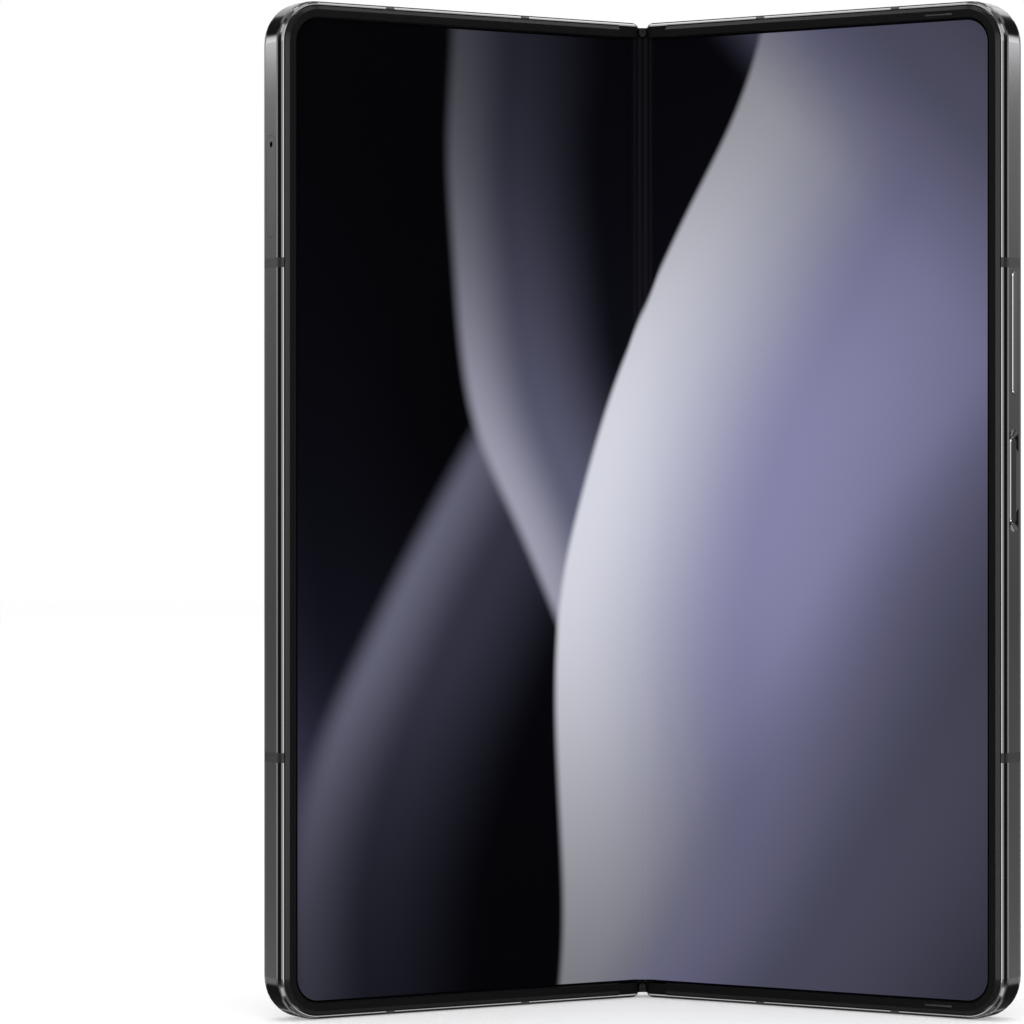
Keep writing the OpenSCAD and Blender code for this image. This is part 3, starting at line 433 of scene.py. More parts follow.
def makeBrushed():
    # Short hairlines along z with a slow change of tone under them
    group, given, out = newGroup(
        "hairlines",
        [("Across", "NodeSocketFloat", brushedLook["across"]),
         ("Along", "NodeSocketFloat", brushedLook["along"]),
         ("Spread", "NodeSocketFloat", brushedLook["spread"]),
         ("Middle", "NodeSocketFloat", brushedLook["middle"])],
        [("Height", "NodeSocketFloat"), ("Roughness", "NodeSocketFloat"),
         ("Tone", "NodeSocketFloat")])
    place = splitPlace(group, restPoint(group))
    joined = group.nodes.new("ShaderNodeCombineXYZ")
    for axis, stretch in (("X", "Across"), ("Y", "Across"), ("Z", "Along")):
        group.links.new(calc(group, "MULTIPLY", place[axis], given.outputs[stretch]),
                        joined.inputs[axis])
    lines = noise(group, joined.outputs[0], 1)
    group.links.new(lines, out.inputs["Height"])
    group.links.new(spreadRound(group, lines, given), out.inputs["Roughness"])
    group.links.new(noise(group, restPoint(group), brushedLook["toneScale"]), out.inputs["Tone"])
    return group


smearLook = {
    "clean": 0.05,
    "smeared": 0.12,
    "scale": 38,
    "detail": 4,
    "distortion": 1.2,
    "from": 0.45,  # noise level at which a smear starts
    "full": 0.72,
}


def makeHandling():
    # Faint smears from handling, as patches that are a little less glossy
    group, given, out = newGroup(
        "handlingSmears",
        [("Clean", "NodeSocketFloat", smearLook["clean"]),
         ("Smeared", "NodeSocketFloat", smearLook["smeared"])],
        [("Roughness", "NodeSocketFloat"), ("Mask", "NodeSocketFloat")])
    patches = noise(group, restPoint(group), smearLook["scale"], smearLook["detail"],
                    smearLook["distortion"])
    mask = ramp(group, patches, [(smearLook["from"], 0.0), (smearLook["full"], 1.0)])
    span = calc(group, "SUBTRACT", given.outputs["Smeared"], given.outputs["Clean"])
    group.links.new(calc(group, "MULTIPLY_ADD", mask, span, given.outputs["Clean"]),
                    out.inputs["Roughness"])
    group.links.new(mask, out.inputs["Mask"])
    return group


fineGrain = makeGrain()
hairlines = makeBrushed()
handlingSmears = makeHandling()
print("shared effects are built")


# Materials

toneStops = (0.3, 0.7)  # levels of a pattern at which a colour is darkest and lightest
metalLook = {
    "scuffShare": 0.1,
    "bumpStrength": 0.3,
}
keyLook = {
    "middle": 0.09,
    "spread": 0.04,
    "vary": 0.05,
    "cutHighlightBelow": 0.86,  # a face that turns this far from the side is all cut edge, in the lighter painted highlight colour
    "faceAbove": 0.97,
}
plasticLook = {
    "vary": 0.2,
    "bumpDepth": 0.000004,
}
backLook = {
    "grain": 9000.0,
    "speck": 0.12,
    "paintedShadeUpTo": 0.1,  # share of the height up to which the painted shade is darkest
}


def addBump(tree, shader, height, strength, distance):
    bump = tree.nodes.new("ShaderNodeBump")
    bump.inputs["Strength"].default_value = strength
    bump.inputs["Distance"].default_value = distance
    tree.links.new(height, bump.inputs["Height"])
    tree.links.new(bump.outputs[0], shader.inputs["Normal"])


def metalMaterial(name, colour, middle, spread, vary=0.04, bump=0.0, worn=1.5, smeared=0.03):
    # Polished or brushed metal: hairlines, a slow change of tone, and dull patches from handling
    material, tree, shader = newMaterial(name)
    setSockets(shader, Metallic=1.0)
    lines = placeGroup(tree, hairlines, Middle=middle, Spread=spread)
    smears = placeGroup(tree, handlingSmears, Clean=0.0, Smeared=smeared)
    tone = ramp(tree, lines.outputs["Tone"], list(zip(toneStops, shades(colour, 1 - vary, 1 + vary))))
    share = calc(tree, "MULTIPLY", smears.outputs["Mask"], metalLook["scuffShare"])
    scuffed = mixColour(tree, share, tone, shades(colour, 1, worn)[1])
    tree.links.new(scuffed, shader.inputs["Base Color"])
    tree.links.new(calc(tree, "ADD", lines.outputs["Roughness"], smears.outputs["Roughness"]),
                   shader.inputs["Roughness"])
    if bump:
        addBump(tree, shader, lines.outputs["Height"], metalLook["bumpStrength"], bump)
    return material


def keyMaterial(name, colour, cutHighlightColour):
    # Polished key face with bright cut edges, partly real cut metal and partly a painted highlight: the
    # cut edges get a lighter base colour that stands in for the bright lines light draws on them. The
    # mask follows how far a face turns from the side of the part, so it stays put in every view
    material, tree, shader = newMaterial(name)
    setSockets(shader, Metallic=1.0)
    lines = placeGroup(tree, hairlines, Middle=keyLook["middle"], Spread=keyLook["spread"])
    side = tree.nodes.new("ShaderNodeVectorMath")
    side.operation = "DOT_PRODUCT"
    tree.links.new(tree.nodes.new("ShaderNodeTexCoord").outputs["Normal"], side.inputs[0])
    side.inputs[1].default_value = halfPlace(1).to_3x3() @ Vector((1, 0, 0))
    cutHighlight = ramp(tree, side.outputs["Value"], [(keyLook["cutHighlightBelow"], 1.0), (keyLook["faceAbove"], 0.0)])
    tones = shades(colour, 1 - keyLook["vary"], 1 + keyLook["vary"])
    tone = ramp(tree, lines.outputs["Tone"], list(zip(toneStops, tones)))
    # painted highlight: the cut edges take the lighter colour
    tree.links.new(mixColour(tree, cutHighlight, tone, cutHighlightColour), shader.inputs["Base Color"])
    tree.links.new(lines.outputs["Roughness"], shader.inputs["Roughness"])
    return material


def plasticMaterial(name, colour, scale, middle, spread, specular=0.5, bump=0.25):
    # Moulded plastic or rubber with a fine grain
    material, tree, shader = newMaterial(name)
    setSockets(shader, Specular_IOR_Level=specular)
    grain = placeGroup(tree, fineGrain, Scale=scale, Middle=middle, Spread=spread)
    tones = shades(colour, 1 - plasticLook["vary"], 1 + plasticLook["vary"])
    shade = ramp(tree, grain.outputs["Height"], list(zip(toneStops, tones)))
    tree.links.new(shade, shader.inputs["Base Color"])
    tree.links.new(grain.outputs["Roughness"], shader.inputs["Roughness"])
    addBump(tree, shader, grain.outputs["Height"], bump, plasticLook["bumpDepth"])
    return material


def glassBackMaterial(name, colour, paintedShadeColour, clean, smeared, specular):
    # Tinted glass over a dark backing, with painted light and shade: darkest near the bottom, a little
    # lighter towards the top
    material, tree, shader = newMaterial(name)
    setSockets(shader, Specular_IOR_Level=specular)
    smears = placeGroup(tree, handlingSmears, Clean=clean, Smeared=smeared)
    rise = calc(tree, "DIVIDE", splitPlace(tree, restPoint(tree))["Z"], phoneHeight)
    grain = placeGroup(tree, fineGrain, Scale=backLook["grain"])
    speck = calc(tree, "MULTIPLY_ADD", grain.outputs["Height"], backLook["speck"], rise)
    # painted shade and light: darkest at the bottom, lighter towards the top
    tint = ramp(tree, speck, [(backLook["paintedShadeUpTo"], paintedShadeColour), (1.0, colour)])
    tree.links.new(tint, shader.inputs["Base Color"])
    tree.links.new(smears.outputs["Roughness"], shader.inputs["Roughness"])
    return material


lens = {
    "cover": (0.93, 0.95, 1.0),
    "coverIor": 1.1,  # low, as a coating keeps reflections off the cover
    "coverSmeared": 0.03,
    "ior": 1.7,
    "specular": 0.12,
    "roughness": 0.05,
    "blend": 0.35,
    # tones of the painted coating reflection, from facing the view to grazing
    "coatingReflection": ((0.0, (0.006, 0.006, 0.016)), (0.35, (0.05, 0.045, 0.12)),
                (0.7, (0.03, 0.025, 0.075)), (1.0, (0.008, 0.008, 0.016))),
    "smearColour": (0.02, 0.02, 0.05),
}


def lensGlassMaterial():
    # Cover glass with an anti-reflection coating
    material, tree, shader = newMaterial("lensCoverGlass")
    setSockets(shader, Transmission_Weight=1.0, IOR=lens["coverIor"], Base_Color=lens["cover"])
    smears = placeGroup(tree, handlingSmears, Clean=0.0, Smeared=lens["coverSmeared"])
    tree.links.new(smears.outputs["Roughness"], shader.inputs["Roughness"])
    return material


def lensElementMaterial():
    # Dark lens with a painted reflection: a violet tint in the base colour that turns with the angle of
    # view stands in for the light its coating reflects
    material, tree, shader = newMaterial("coatedLens")
    setSockets(shader, Roughness=lens["roughness"], IOR=lens["ior"],
               Specular_IOR_Level=lens["specular"])
    facing = tree.nodes.new("ShaderNodeLayerWeight")
    facing.inputs["Blend"].default_value = lens["blend"]
    # painted reflection: the coating's violet tint follows the angle of view
    coatingReflection = ramp(tree, facing.outputs["Facing"], lens["coatingReflection"])
    smears = placeGroup(tree, handlingSmears)
    tree.links.new(mixColour(tree, smears.outputs["Mask"], coatingReflection, lens["smearColour"]),
                   shader.inputs["Base Color"])
    return material


flash = {
    "node": "flash_lens",
    "warm": (0.86, 0.78, 0.58),
    "pale": (0.97, 0.95, 0.86),
    "chipHeight": 0.0007,
    "waves": 2500,
    "waveShare": 0.4,
    "grain": 4000.0,
    "bump": (0.2, 0.00001),  # strength and depth
    "paleUpTo": 0.5,
    "warmFrom": 1.3,
}


def flashMaterial():
    # Cream diffuser, paler across a soft level band where the light source sits
    material, tree, shader = newMaterial("flashDiffuser")
    setSockets(shader, Roughness=0.25, Subsurface_Weight=0.2, Subsurface_Scale=0.001)
    low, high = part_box(flash["node"])
    height = splitPlace(tree, restPoint(tree))["Z"]
    off = calc(tree, "SUBTRACT", height, (low.z + high.z) / 2)
    band = calc(tree, "DIVIDE", calc(tree, "ABSOLUTE", off), flash["chipHeight"])
    waves = noise(tree, restPoint(tree), flash["waves"])
    soft = calc(tree, "MULTIPLY_ADD", waves, flash["waveShare"], band)
    stops = [(flash["paleUpTo"], flash["pale"]), (flash["warmFrom"], flash["warm"])]
    tree.links.new(ramp(tree, soft, stops), shader.inputs["Base Color"])
    grain = placeGroup(tree, fineGrain, Scale=flash["grain"])
    addBump(tree, shader, grain.outputs["Height"], *flash["bump"])
    return material


wire = {
    "perMetre": 7000,
    "hole": 0.3,
    "rim": 0.42,
    "colour": (0.06, 0.06, 0.062),
    # painted shade inside the openings
    "holeColour": (0.002, 0.002, 0.002),
    "bump": (0.6, 0.00003),
}


def wireMeshMaterial():
    # Woven dark wire with small round openings in rows; the openings are painted shade, near-black
    # spots in the colour in place of real holes
    material, tree, shader = newMaterial("wovenMesh")
    setSockets(shader, Metallic=0.9, Roughness=0.45)
    cells = cellDistance(tree, wire["perMetre"], 0)
    hole = ramp(tree, cells, [(wire["hole"], 1.0), (wire["rim"], 0.0)])
    # painted shade: the openings are near-black spots
    tree.links.new(mixColour(tree, hole, wire["colour"], wire["holeColour"]),
                   shader.inputs["Base Color"])
    addBump(tree, shader, cells, *wire["bump"])
    return material


board = {
    "cells": 900,
    "pad": 0.12,
    "padRim": 0.16,
    "maskColour": (0.01, 0.07, 0.045),
    "padColour": (0.55, 0.5, 0.35),
}


def boardMaterial():
    # Solder mask with small bright pads
    material, tree, shader = newMaterial("circuitBoard")
    setSockets(shader, Roughness=0.35)
    pads = ramp(tree, cellDistance(tree, board["cells"]), [(board["pad"], 1.0), (board["padRim"], 0.0)])
    tree.links.new(mixColour(tree, pads, board["maskColour"], board["padColour"]),
                   shader.inputs["Base Color"])
    tree.links.new(pads, shader.inputs["Metallic"])
    return material


winding = {
    "turnRate": 9000,
    # painted shade in the grooves between turns
    "paintedShadeColour": (0.25, 0.1, 0.04),
    "colour": (0.72, 0.36, 0.18),
    "bump": (0.5, 0.0001),
}


def windingMaterial(centre):
    # Enamelled wire wound in flat rings about a centre, with painted shade: each turn is painted darker
    # towards the grooves between turns
    material, tree, shader = newMaterial("enamelledWinding")
    setSockets(shader, Metallic=1.0, Roughness=0.3)
    off = tree.nodes.new("ShaderNodeVectorMath")
    off.operation = "DISTANCE"
    tree.links.new(restPoint(tree), off.inputs[0])
    off.inputs[1].default_value = centre
    turns = calc(tree, "SINE", calc(tree, "MULTIPLY", off.outputs["Value"], winding["turnRate"]))
    level = calc(tree, "MULTIPLY_ADD", turns, 0.5, 0.5)
    # painted shade: darker between the turns
    tree.links.new(ramp(tree, level, [(0.0, winding["paintedShadeColour"]), (1.0, winding["colour"])]),
                   shader.inputs["Base Color"])
    addBump(tree, shader, level, *winding["bump"])
    return material


finishes = {
    "frame": metalMaterial("polishedGraphite", (0.078, 0.078, 0.081), 0.085, 0.03),
    "spine": metalMaterial("polishedSpine", (0.07, 0.07, 0.073), 0.1, 0.04),
    # each key's second colour is its cut edge, lighter partly as a painted highlight
    "powerKey": keyMaterial("polishedPowerKey", (0.026, 0.026, 0.028), (0.2, 0.2, 0.204)),
    "volumeKey": keyMaterial("polishedVolumeKey", (0.11, 0.11, 0.113), (0.24, 0.24, 0.245)),
    "ring": metalMaterial("turnedRing", (0.3, 0.3, 0.305), 0.16, 0.06),
    "island": metalMaterial("satinIsland", (0.02, 0.021, 0.018), 0.3, 0.05),
    "steel": metalMaterial("brushedSteel", (0.5, 0.5, 0.51), 0.28, 0.15, 0.1, 0.000001),
    "darkSteel": metalMaterial("stampedSteel", (0.25, 0.25, 0.26), 0.33, 0.15, 0.1, 0.000001),
    "brass": metalMaterial("turnedBrass", (0.6, 0.42, 0.18), 0.24, 0.1, 0.1, 0.000001),
    "gilt": metalMaterial("giltContact", (0.75, 0.55, 0.25), 0.22, 0.08, 0.08, 0.000001),
    "foil": metalMaterial("cellFoil", (0.05, 0.05, 0.055), 0.35, 0.2, 0.1, 0.000002),
    "bezel": plasticMaterial("satinBezel", (0.0062, 0.0062, 0.0067), 14000.0, 0.2, 0.06, 0.08, 0.1),
    "guard": plasticMaterial("softGuard", (0.0018, 0.0018, 0.002), 9000.0, 0.45, 0.1, 0.06),
    "endCap": plasticMaterial("endCapPlastic", (0.004, 0.004, 0.0045), 9000.0, 0.3, 0.1, 0.1),
    "band": plasticMaterial("bandPlastic", (0.008, 0.008, 0.0085), 9000.0, 0.4, 0.1, 0.25),
    "cameraBlack": plasticMaterial("blackenedBarrel", (0.0022, 0.0022, 0.0026), 6000.0, 0.45, 0.2, 0.1),
    "baffle": plasticMaterial("baffleBlack", (0.006, 0.006, 0.0066), 6000.0, 0.4, 0.2, 0.2),
    "wireMesh": wireMeshMaterial(),
    "speaker": plasticMaterial("speakerBlack", (0.012, 0.012, 0.012), 5000.0, 0.5, 0.2),
    "card": plasticMaterial("plainCard", (0.72, 0.7, 0.62), 5000.0, 0.4, 0.1),
    # the second colour of each glass is the painted shade at its bottom
    "rearGlass": glassBackMaterial("rearGlass", (0.0095, 0.0098, 0.008), (0.002, 0.002, 0.0018),
                                   0.12, 0.16, 0.3),
    "coverGlass": glassBackMaterial("coverGlass", (0.003, 0.003, 0.0035), (0.002, 0.002, 0.0025),
                                    0.03, 0.07, 0.45),
    "innerScreen": glassBackMaterial("sleepingScreen", (0.002, 0.002, 0.003), (0.002, 0.002, 0.003),
                                     0.05, 0.08, 0.4),
    "lensGlass": lensGlassMaterial(),
    "lens": lensElementMaterial(),
    "flash": flashMaterial(),
    "board": boardMaterial(),
}
coilLow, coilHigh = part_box("charging_coil")
finishes["winding"] = windingMaterial((coilLow + coilHigh) / 2)

finishOf = {
    "frame": ["right_frame", "left_frame", "sim_tray"],
    "spine": ["spine_cover"],
    "powerKey": ["power_key"],
    "volumeKey": ["volume_key"],
    "ring": ["camera_rings"],
    "island": ["camera_island"],
    "steel": ["hinge_shafts", "hinge_springs", "right_sync_arms", "left_sync_arms", "usb_port",
              "right_wing_plate", "left_wing_plate", "sim_slot", "vibration_motor"],
    "darkSteel": ["hinge_housings", "hinge_centre_plate", "right_slide_brackets",
                  "left_slide_brackets", "right_magnets", "left_magnets"],
    "brass": ["key_switches", "right_idler_gears", "left_idler_gears"],
    "foil": ["right_battery", "left_battery"],
    "bezel": ["right_bezel", "left_bezel"],
    "guard": ["right_fold_guards", "left_fold_guards"],
    "endCap": ["spine_end_caps"],
    "band": ["right_antenna_bands", "left_antenna_bands"],
    "cameraBlack": ["camera_modules", "cover_camera"],
    "speaker": ["speakers"],
    "card": ["sim_card"],
    "rearGlass": ["rear_glass"],
    "coverGlass": ["cover_glass"],
    "innerScreen": ["cover_display"],
    "lensGlass": ["camera_cover_lenses"],
    "lens": ["camera_lens_elements"],
    "flash": ["flash_lens"],
    "board": ["main_board", "sub_board"],
    "winding": ["charging_coil"],
}


def dressParts():
    for finish, names in finishOf.items():
        for name in names:
            nodes[name].data.materials.clear()
            nodes[name].data.materials.append(finishes[finish])


dressParts()
print("carried-over parts are dressed")


# Folding screen

screen = {
    "sink": 0.00005,  # depth of its face below the frame's front
    "thickness": 0.0006,
    "under": 0.0002,  # how far it runs on under the bezel
    "border": 0.0003,  # unlit edge inside the bezel
    "bendReach": 0.0035,  # from the middle line to where a half lies flat
    "bendSteps": 16,
    "settleSteps": 40,  # rounds that place a point of the bend
    "flatSteps": 8,
    "cornerSteps": 8,
    "sharpAngle": 30,
    "glow": 1.0,
    "black": (0.001, 0.001, 0.0014),
    "clean": 0.18,
    "smeared": 0.24,
}
picture = {
    "unit": 10,  # units of 100 mm in a metre
    "midHeight": 0.775,
    "silkScale": 1.4,
    "drift": 0.12,  # how far the silk moves the sheets' edges
    "fade": 2.5,
    "unlit": (0.0004, 0.0004, 0.0008),
}
# Sheets of the picture, from behind to in front, in units of 100 mm. edge is where a sheet's left
# edge crosses mid-height, lean its slope, swing and wave its curve, width its fade, crisp how
# sharp the edge is, middle and reach the heights that it glows at.
paperSheets = [
    {"edge": -0.92, "lean": 0.30, "swing": 0.05, "wave": 2.4, "phase": 0.1,
     "width": 0.62, "crisp": 3, "middle": 1.30, "reach": 0.34,
     "colours": ((0.055, 0.054, 0.088), (0.016, 0.016, 0.028), (0.0006, 0.0006, 0.001))},
    {"edge": -0.78, "lean": -0.42, "swing": 0.06, "wave": 2.1, "phase": 0.62,
     "width": 0.5, "crisp": 5, "middle": 0.22, "reach": 0.3,
     "colours": ((0.05, 0.048, 0.09), (0.012, 0.012, 0.024), (0.0006, 0.0006, 0.001))},
    {"edge": -0.36, "lean": 0.34, "swing": 0.075, "wave": 1.75, "phase": 0.52,
     "width": 0.34, "crisp": 18, "middle": 0.66, "reach": 0.42,
     "colours": ((0.13, 0.13, 0.19), (0.03, 0.03, 0.05), (0.001, 0.001, 0.002))},
    {"edge": -0.22, "lean": -0.24, "swing": 0.06, "wave": 1.5, "phase": 0.08,
     "width": 0.3, "crisp": 34, "middle": 0.76, "reach": 0.36,
     "colours": ((0.34, 0.34, 0.43), (0.1, 0.1, 0.16), (0.004, 0.004, 0.008))},
    {"edge": -0.05, "lean": 0.24, "swing": 0.085, "wave": 1.7, "phase": 0.33,
     "width": 0.95, "crisp": 60, "middle": 0.80, "reach": 0.54,
     "colours": ((0.66, 0.67, 0.75), (0.235, 0.23, 0.39), (0.07, 0.07, 0.125))},
    {"edge": 0.84, "lean": -0.78, "swing": 0.06, "wave": 1.9, "phase": 0.8,
     "width": 0.6, "crisp": 4, "middle": 1.2, "reach": 0.7,
     "colours": ((0.115, 0.113, 0.19), (0.07, 0.07, 0.11), (0.03, 0.03, 0.045))},
    {"edge": 0.58, "lean": 0.86, "swing": 0.06, "wave": 2.2, "phase": 0.35,
     "width": 0.7, "crisp": 4, "middle": 0.1, "reach": 0.9,
     "colours": ((0.125, 0.123, 0.205), (0.06, 0.06, 0.095), (0.025, 0.025, 0.038))},
]


def smoothStep(value):
    value = min(max(value, 0), 1)
    return value * value * (3 - 2 * value)


def bentPoint(flat, depth, reach):
    # Where a point of the flat screen stands: its turn follows its own place across the fold
    outward, behind = flat - foldAxis.x, depth - phone["axisDepth"]
    across = flat
    for _ in range(screen["settleSteps"]):
        turn = lean * smoothStep(across / reach)
        across = foldAxis.x + outward * math.cos(turn) + behind * math.sin(turn)
    return across, foldAxis.y + behind * math.cos(turn) - outward * math.sin(turn)


def screenColumns():
    # Each column: distance from the middle line, lowest and highest point
    low = phone["rimWidth"] - screen["under"]
    outer = phone["halfWidth"] - low
    radius = phone["cornerRadius"] - low
    straight = outer - radius
    bend = [screen["bendReach"] * k / screen["bendSteps"] for k in range(screen["bendSteps"] + 1)]
    flat = [screen["bendReach"] + (straight - screen["bendReach"]) * k / screen["flatSteps"]
            for k in range(1, screen["flatSteps"] + 1)]
    columns = [(place, low, phoneHeight - low) for place in bend + flat]
    for k in range(1, screen["cornerSteps"] + 1):
        angle = math.pi / 2 * k / screen["cornerSteps"]
        rise = radius * (1 - math.cos(angle))
        columns.append((straight + radius * math.sin(angle), low + rise, phoneHeight - low - rise))
    return columns


def finishMesh(name, mesh, sharpAngle):
    bmesh.ops.recalc_face_normals(mesh, faces=mesh.faces)
    for face in mesh.faces:
        face.smooth = True
    data = bpy.data.meshes.new(name)
    mesh.to_mesh(data)
    mesh.free()
    data.set_sharp_from_angle(angle=math.radians(sharpAngle))
    return addObject(name, data)


def makeScreen(name, side, material):
    flatEdge = screen["bendReach"] - foldAxis.x
    turned = flatEdge * math.cos(lean) + (screen["sink"] - phone["axisDepth"]) * math.sin(lean)
    reach = foldAxis.x + turned
    front = screen["sink"]
    back = screen["sink"] + screen["thickness"]
    columns = screenColumns()
    mesh = bmesh.new()
    paper = mesh.loops.layers.uv.new("paper")
    places = {}
    rows = []
    for flat, low, high in columns:
        corners = []
        for depth, height in ((front, low), (front, high), (back, high), (back, low)):
            across, away = bentPoint(flat, depth, reach)
            corner = mesh.verts.new((side * across, away, height))
            places[corner] = (side * flat * picture["unit"], height * picture["unit"])
            corners.append(corner)
        rows.append(corners)
    for left, right in zip(rows, rows[1:]):
        for k in range(4):
            mesh.faces.new((left[k], right[k], right[(k + 1) % 4], left[(k + 1) % 4]))
    mesh.faces.new(rows[0])
    mesh.faces.new(rows[-1][::-1])
    bmesh.ops.recalc_face_normals(mesh, faces=mesh.faces)
    for face in mesh.faces:
        for loop in face.loops:
            loop[paper].uv = places[loop.vert]
    piece = finishMesh(name, mesh, screen["sharpAngle"])
    piece.data.materials.append(material)
    return piece, reach


def makePaper():
    # The picture: soft overlapping sheets that flow from top to bottom
    group, given, out = newGroup("wavePaper", [("Place", "NodeSocketVector", None)],
                                 [("Color", "NodeSocketColor")])
    place = splitPlace(group, given.outputs["Place"])
    silk = noise(group, given.outputs["Place"], picture["silkScale"], 1)
    drift = calc(group, "MULTIPLY_ADD", silk, picture["drift"], -picture["drift"] / 2)
    moved = calc(group, "ADD", place["X"], drift)
    upFromMiddle = calc(group, "SUBTRACT", place["Y"], picture["midHeight"])
    result = picture["unlit"]
    for sheet in paperSheets:
        turn = calc(group, "MULTIPLY_ADD", place["Y"], math.tau / sheet["wave"],
                    sheet["phase"] * math.tau)
        curve = calc(group, "MULTIPLY_ADD", calc(group, "SINE", turn), sheet["swing"], sheet["edge"])
        slope = calc(group, "MULTIPLY_ADD", upFromMiddle, sheet["lean"], curve)
        off = calc(group, "SUBTRACT", moved, slope)
        share = calc(group, "DIVIDE", off, sheet["width"])
        shade = ramp(group, share, list(zip((0.0, 0.4, 1.0), sheet["colours"])))
        rise = calc(group, "SUBTRACT", place["Y"], sheet["middle"])
        rise = calc(group, "ABSOLUTE", calc(group, "DIVIDE", rise, sheet["reach"]))
        fade = calc(group, "ADD", calc(group, "POWER", rise, picture["fade"]), 1.0)
        shade = mixColour(group, calc(group, "DIVIDE", 1.0, fade), picture["unlit"], shade)
        cover = ramp(group, calc(group, "MULTIPLY_ADD", off, sheet["crisp"], 0.5),
                     [(0.0, 0.0), (1.0, 1.0)])
        result = mixColour(group, cover, result, shade)
    group.links.new(result, out.inputs["Color"])
    return group


def litArea(tree, place):
    # 1 on the lit picture, 0 in the thin unlit edge
    split = splitPlace(tree, place)
    unit = picture["unit"]
    edge = (phone["rimWidth"] + screen["border"]) * unit
    radius = phone["cornerRadius"] * unit - edge
    middle = phoneHeight * unit / 2
    squares = []
    for off, half in ((split["X"], phone["halfWidth"] * unit),
                      (calc(tree, "SUBTRACT", split["Y"], middle), middle)):
        over = calc(tree, "SUBTRACT", calc(tree, "ABSOLUTE", off), half - edge - radius)
        squares.append(calc(tree, "POWER", calc(tree, "MAXIMUM", over, 0), 2))
    cornerOff = calc(tree, "SQRT", calc(tree, "ADD", *squares))
    return calc(tree, "LESS_THAN", cornerOff, radius)


def screenMaterial():
    material, tree, shader = newMaterial("litScreen")
    setSockets(shader, Base_Color=screen["black"], Specular_IOR_Level=0.01,
               Emission_Strength=screen["glow"])
    uv = tree.nodes.new("ShaderNodeUVMap")
    uv.uv_map = "paper"
    shown = placeGroup(tree, makePaper())
    tree.links.new(uv.outputs[0], shown.inputs["Place"])
    lit = litArea(tree, uv.outputs[0])
    tree.links.new(mixColour(tree, lit, (0, 0, 0), shown.outputs["Color"]),
                   shader.inputs["Emission Color"])
    smears = placeGroup(tree, handlingSmears, Clean=screen["clean"], Smeared=screen["smeared"])
    tree.links.new(smears.outputs["Roughness"], shader.inputs["Roughness"])
    return material


def dressScreen():
    material = screenMaterial()
    halves = (("screenRight", 1, "right_half", ("display_right", "display_fold")),
              ("screenLeft", -1, "left_half", ("display_left",)))
    for name, side, body, replaced in halves:
        piece, reach = makeScreen(name, side, material)
        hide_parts(*replaced)
        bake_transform(piece)


dressScreen()
print("folding screen is built")


# Small pieces

def bridgeRings(mesh, first, second):
    # Faces between two closed rings of points
    for k in range(len(first)):
        after = (k + 1) % len(first)
        mesh.faces.new((first[k], first[after], second[after], second[k]))


def fitPiece(piece, finish, body):
    piece.data.materials.append(finishes[finish])
    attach(piece, body)


def latheMesh(name, middle, profile, segments, sharpAngle):
    # Turns a profile of radius and depth about an axis that stands on a half's back
    mesh = bmesh.new()
    place = halfPlace(1)
    rings = []
    for radius, depth in profile:
        ring = []
        for k in range(segments):
            angle = math.tau * k / segments
            point = Vector((middle[0] + radius * math.cos(angle), depth,
                            middle[1] + radius * math.sin(angle)))
            ring.append(mesh.verts.new(place @ point))
        rings.append(ring)
    for first, second in zip(rings, rings[1:]):
        bridgeRings(mesh, first, second)
    return finishMesh(name, mesh, sharpAngle)


baffles = {
    "rowIn": 0.0134,  # from the outer edge to the row of cameras
    "firstDown": 0.0146,  # from the top to the first camera
    "step": 0.0156,
    "count": 3,
    "funnelBottom": 0.0054,  # depth from the front face
    "innerRadius": 0.0024,
    "outerRadius": 0.0047,
    "flareStart": 0.0023,
    "flare": 1.35,
    "clear": 0.00002,  # keeps the ridges off the funnel's wall
    "ridges": 7,
    "ridgeHeight": 0.00007,
    "ridgeShape": ((0.0, 0.2), (0.1, 1.0), (0.45, 1.0), (0.55, 0.2)),  # share of a step, of the height
    "segments": 64,
    "sharpAngle": 35,
}


def makeBaffles():
    # Fine ridges on each camera's funnel, which keep stray light down
    across = phone["halfWidth"] - baffles["rowIn"]
    span = baffles["outerRadius"] - baffles["innerRadius"]
    profile = []
    for k in range(baffles["ridges"]):
        for share, lift in baffles["ridgeShape"]:
            radius = baffles["innerRadius"] + span * (k + share) / baffles["ridges"]
            rise = (radius - baffles["flareStart"]) / baffles["flare"]
            depth = baffles["funnelBottom"] + rise + lift * baffles["ridgeHeight"]
            profile.append((radius - baffles["clear"], depth))
    for index in range(baffles["count"]):
        down = baffles["firstDown"] + index * baffles["step"]
        piece = latheMesh("lensBaffle%d" % (index + 1), (across, phoneHeight - down), profile,
                          baffles["segments"], baffles["sharpAngle"])
        fitPiece(piece, "baffle", "right_half")


slots = {
    "round": 10,  # steps of each round end
    "speaker": {"across": 0.027, "step": 0.0026, "count": 6, "length": 0.00186, "width": 0.00106,
                "down": 0.0013},
    "receiver": {"across": 0.0537, "length": 0.00486, "width": 0.00036, "up": 0.0019,
                 "depth": -0.0002},
    "sharpAngle": 60,
    "domeHeight": 0.00005,
    "domeShape": ((1.0, 0.0), (0.7, 0.7), (0.35, 1.0)),  # share of the outline, share of the height
}


def slotOutline(length, width):
    # Points round a slot shape with round ends, long in its first direction
    points = []
    for end in (1, -1):
        for k in range(slots["round"] + 1):
            angle = math.pi * (k / slots["round"] - 0.5)
            points.append((end * ((length - width) / 2 + width / 2 * math.cos(angle)),
                           end * width / 2 * math.sin(angle)))
    return points


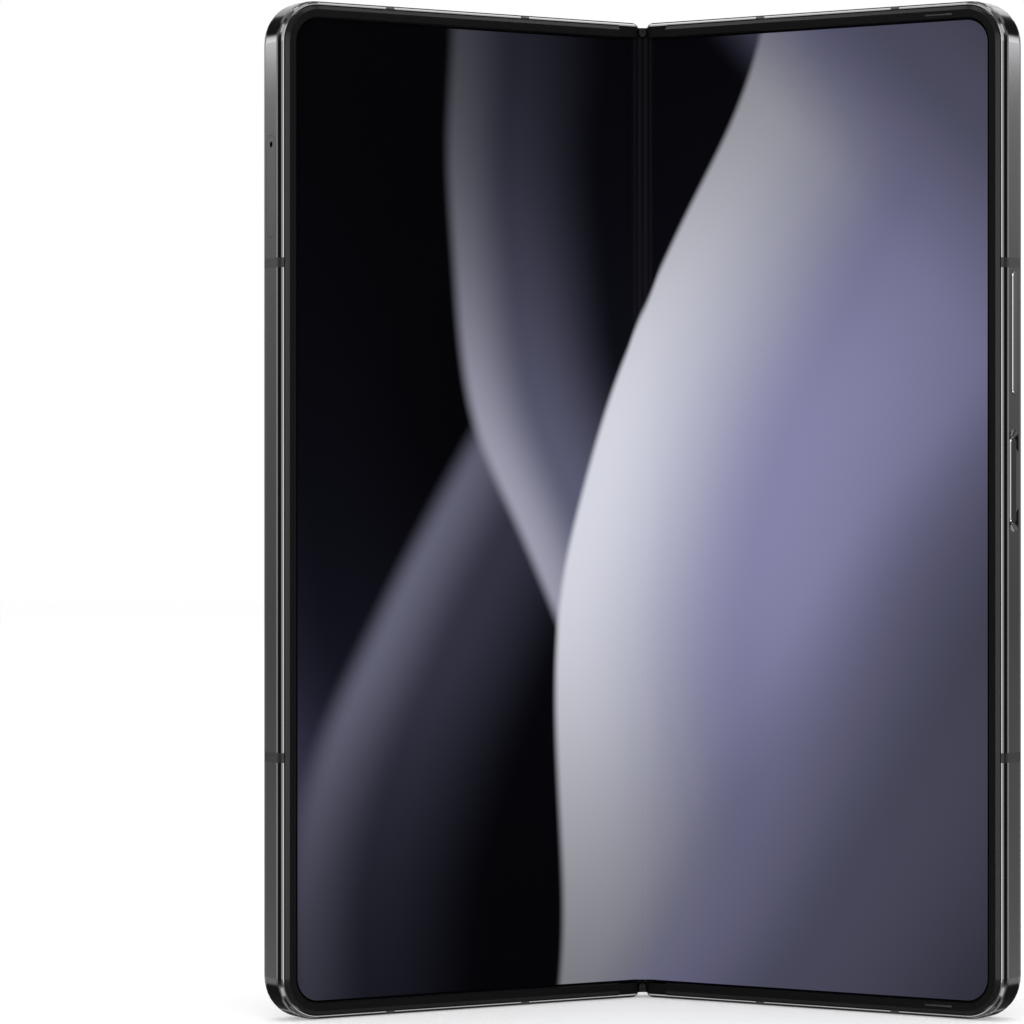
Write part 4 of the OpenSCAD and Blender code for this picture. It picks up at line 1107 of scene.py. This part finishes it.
def addMeshPatch(mesh, side, length, width, toPoint):
    # A slightly domed patch of woven wire, in the shape of its slot
    place = halfPlace(side)
    rings = []
    for share, rise in slots["domeShape"]:
        lift = rise * slots["domeHeight"]
        points = [toPoint(a * share, b * share, lift) for a, b in slotOutline(length, width)]
        rings.append([mesh.verts.new(place @ Vector(point)) for point in points])
    for first, second in zip(rings, rings[1:]):
        bridgeRings(mesh, first, second)
    mesh.faces.new(rings[-1])


def makeSpeakerMesh():
    speaker = slots["speaker"]
    middle = phone["thickness"] / 2
    for name, turned in (("bottomSpeakerMesh", False), ("topSpeakerMesh", True)):
        mesh = bmesh.new()
        for k in range(speaker["count"]):
            across = speaker["across"] + k * speaker["step"]

            def toPoint(a, b, lift):
                height = speaker["down"] - lift
                return across + a, middle + b, phoneHeight - height if turned else height

            addMeshPatch(mesh, -1, speaker["length"], speaker["width"], toPoint)
        fitPiece(finishMesh(name, mesh, slots["sharpAngle"]), "wireMesh", "left_half")


def makeReceiverMesh():
    receiver = slots["receiver"]
    for name, turned in (("bottomReceiverMesh", False), ("topReceiverMesh", True)):
        mesh = bmesh.new()

        def toPoint(a, b, lift):
            height = phoneHeight - receiver["up"] - b if turned else receiver["up"] + b
            return receiver["across"] + a, receiver["depth"] - lift, height

        addMeshPatch(mesh, 1, receiver["length"], receiver["width"], toPoint)
        fitPiece(finishMesh(name, mesh, slots["sharpAngle"]), "wireMesh", "right_half")


contacts = {
    "across": 0.033,
    "count": 12,
    "step": 0.0005,
    "width": 0.00026,
    "halfTongue": 0.00035,
    "low": 0.0019,
    "high": 0.0061,
    "rise": 0.00003,
    "bevel": 0.00005,
    "sharpAngle": 20,
}


def makeContacts():
    # Gilt contact strips on both faces of the socket's tongue, with sloped ends and sides
    mesh = bmesh.new()
    place = halfPlace(1)
    middle = phone["thickness"] / 2
    for face in (-1, 1):
        for k in range(contacts["count"]):
            across = contacts["across"] + (k - (contacts["count"] - 1) / 2) * contacts["step"]
            rings = []
            for inset, lift in ((0.0, 0.0), (contacts["bevel"], contacts["rise"])):
                depth = middle + face * (contacts["halfTongue"] + lift)
                halfWide = contacts["width"] / 2 - inset
                low, high = contacts["low"] + inset, contacts["high"] - inset
                corners = ((-halfWide, low), (halfWide, low), (halfWide, high), (-halfWide, high))
                rings.append([mesh.verts.new(place @ Vector((across + a, depth, b)))
                              for a, b in corners])
            bridgeRings(mesh, *rings)
            mesh.faces.new(rings[1])
    piece = finishMesh("socketContacts", mesh, contacts["sharpAngle"])
    fitPiece(piece, "gilt", "right_half")


makeBaffles()
makeSpeakerMesh()
makeReceiverMesh()
makeContacts()
print("small pieces are built")
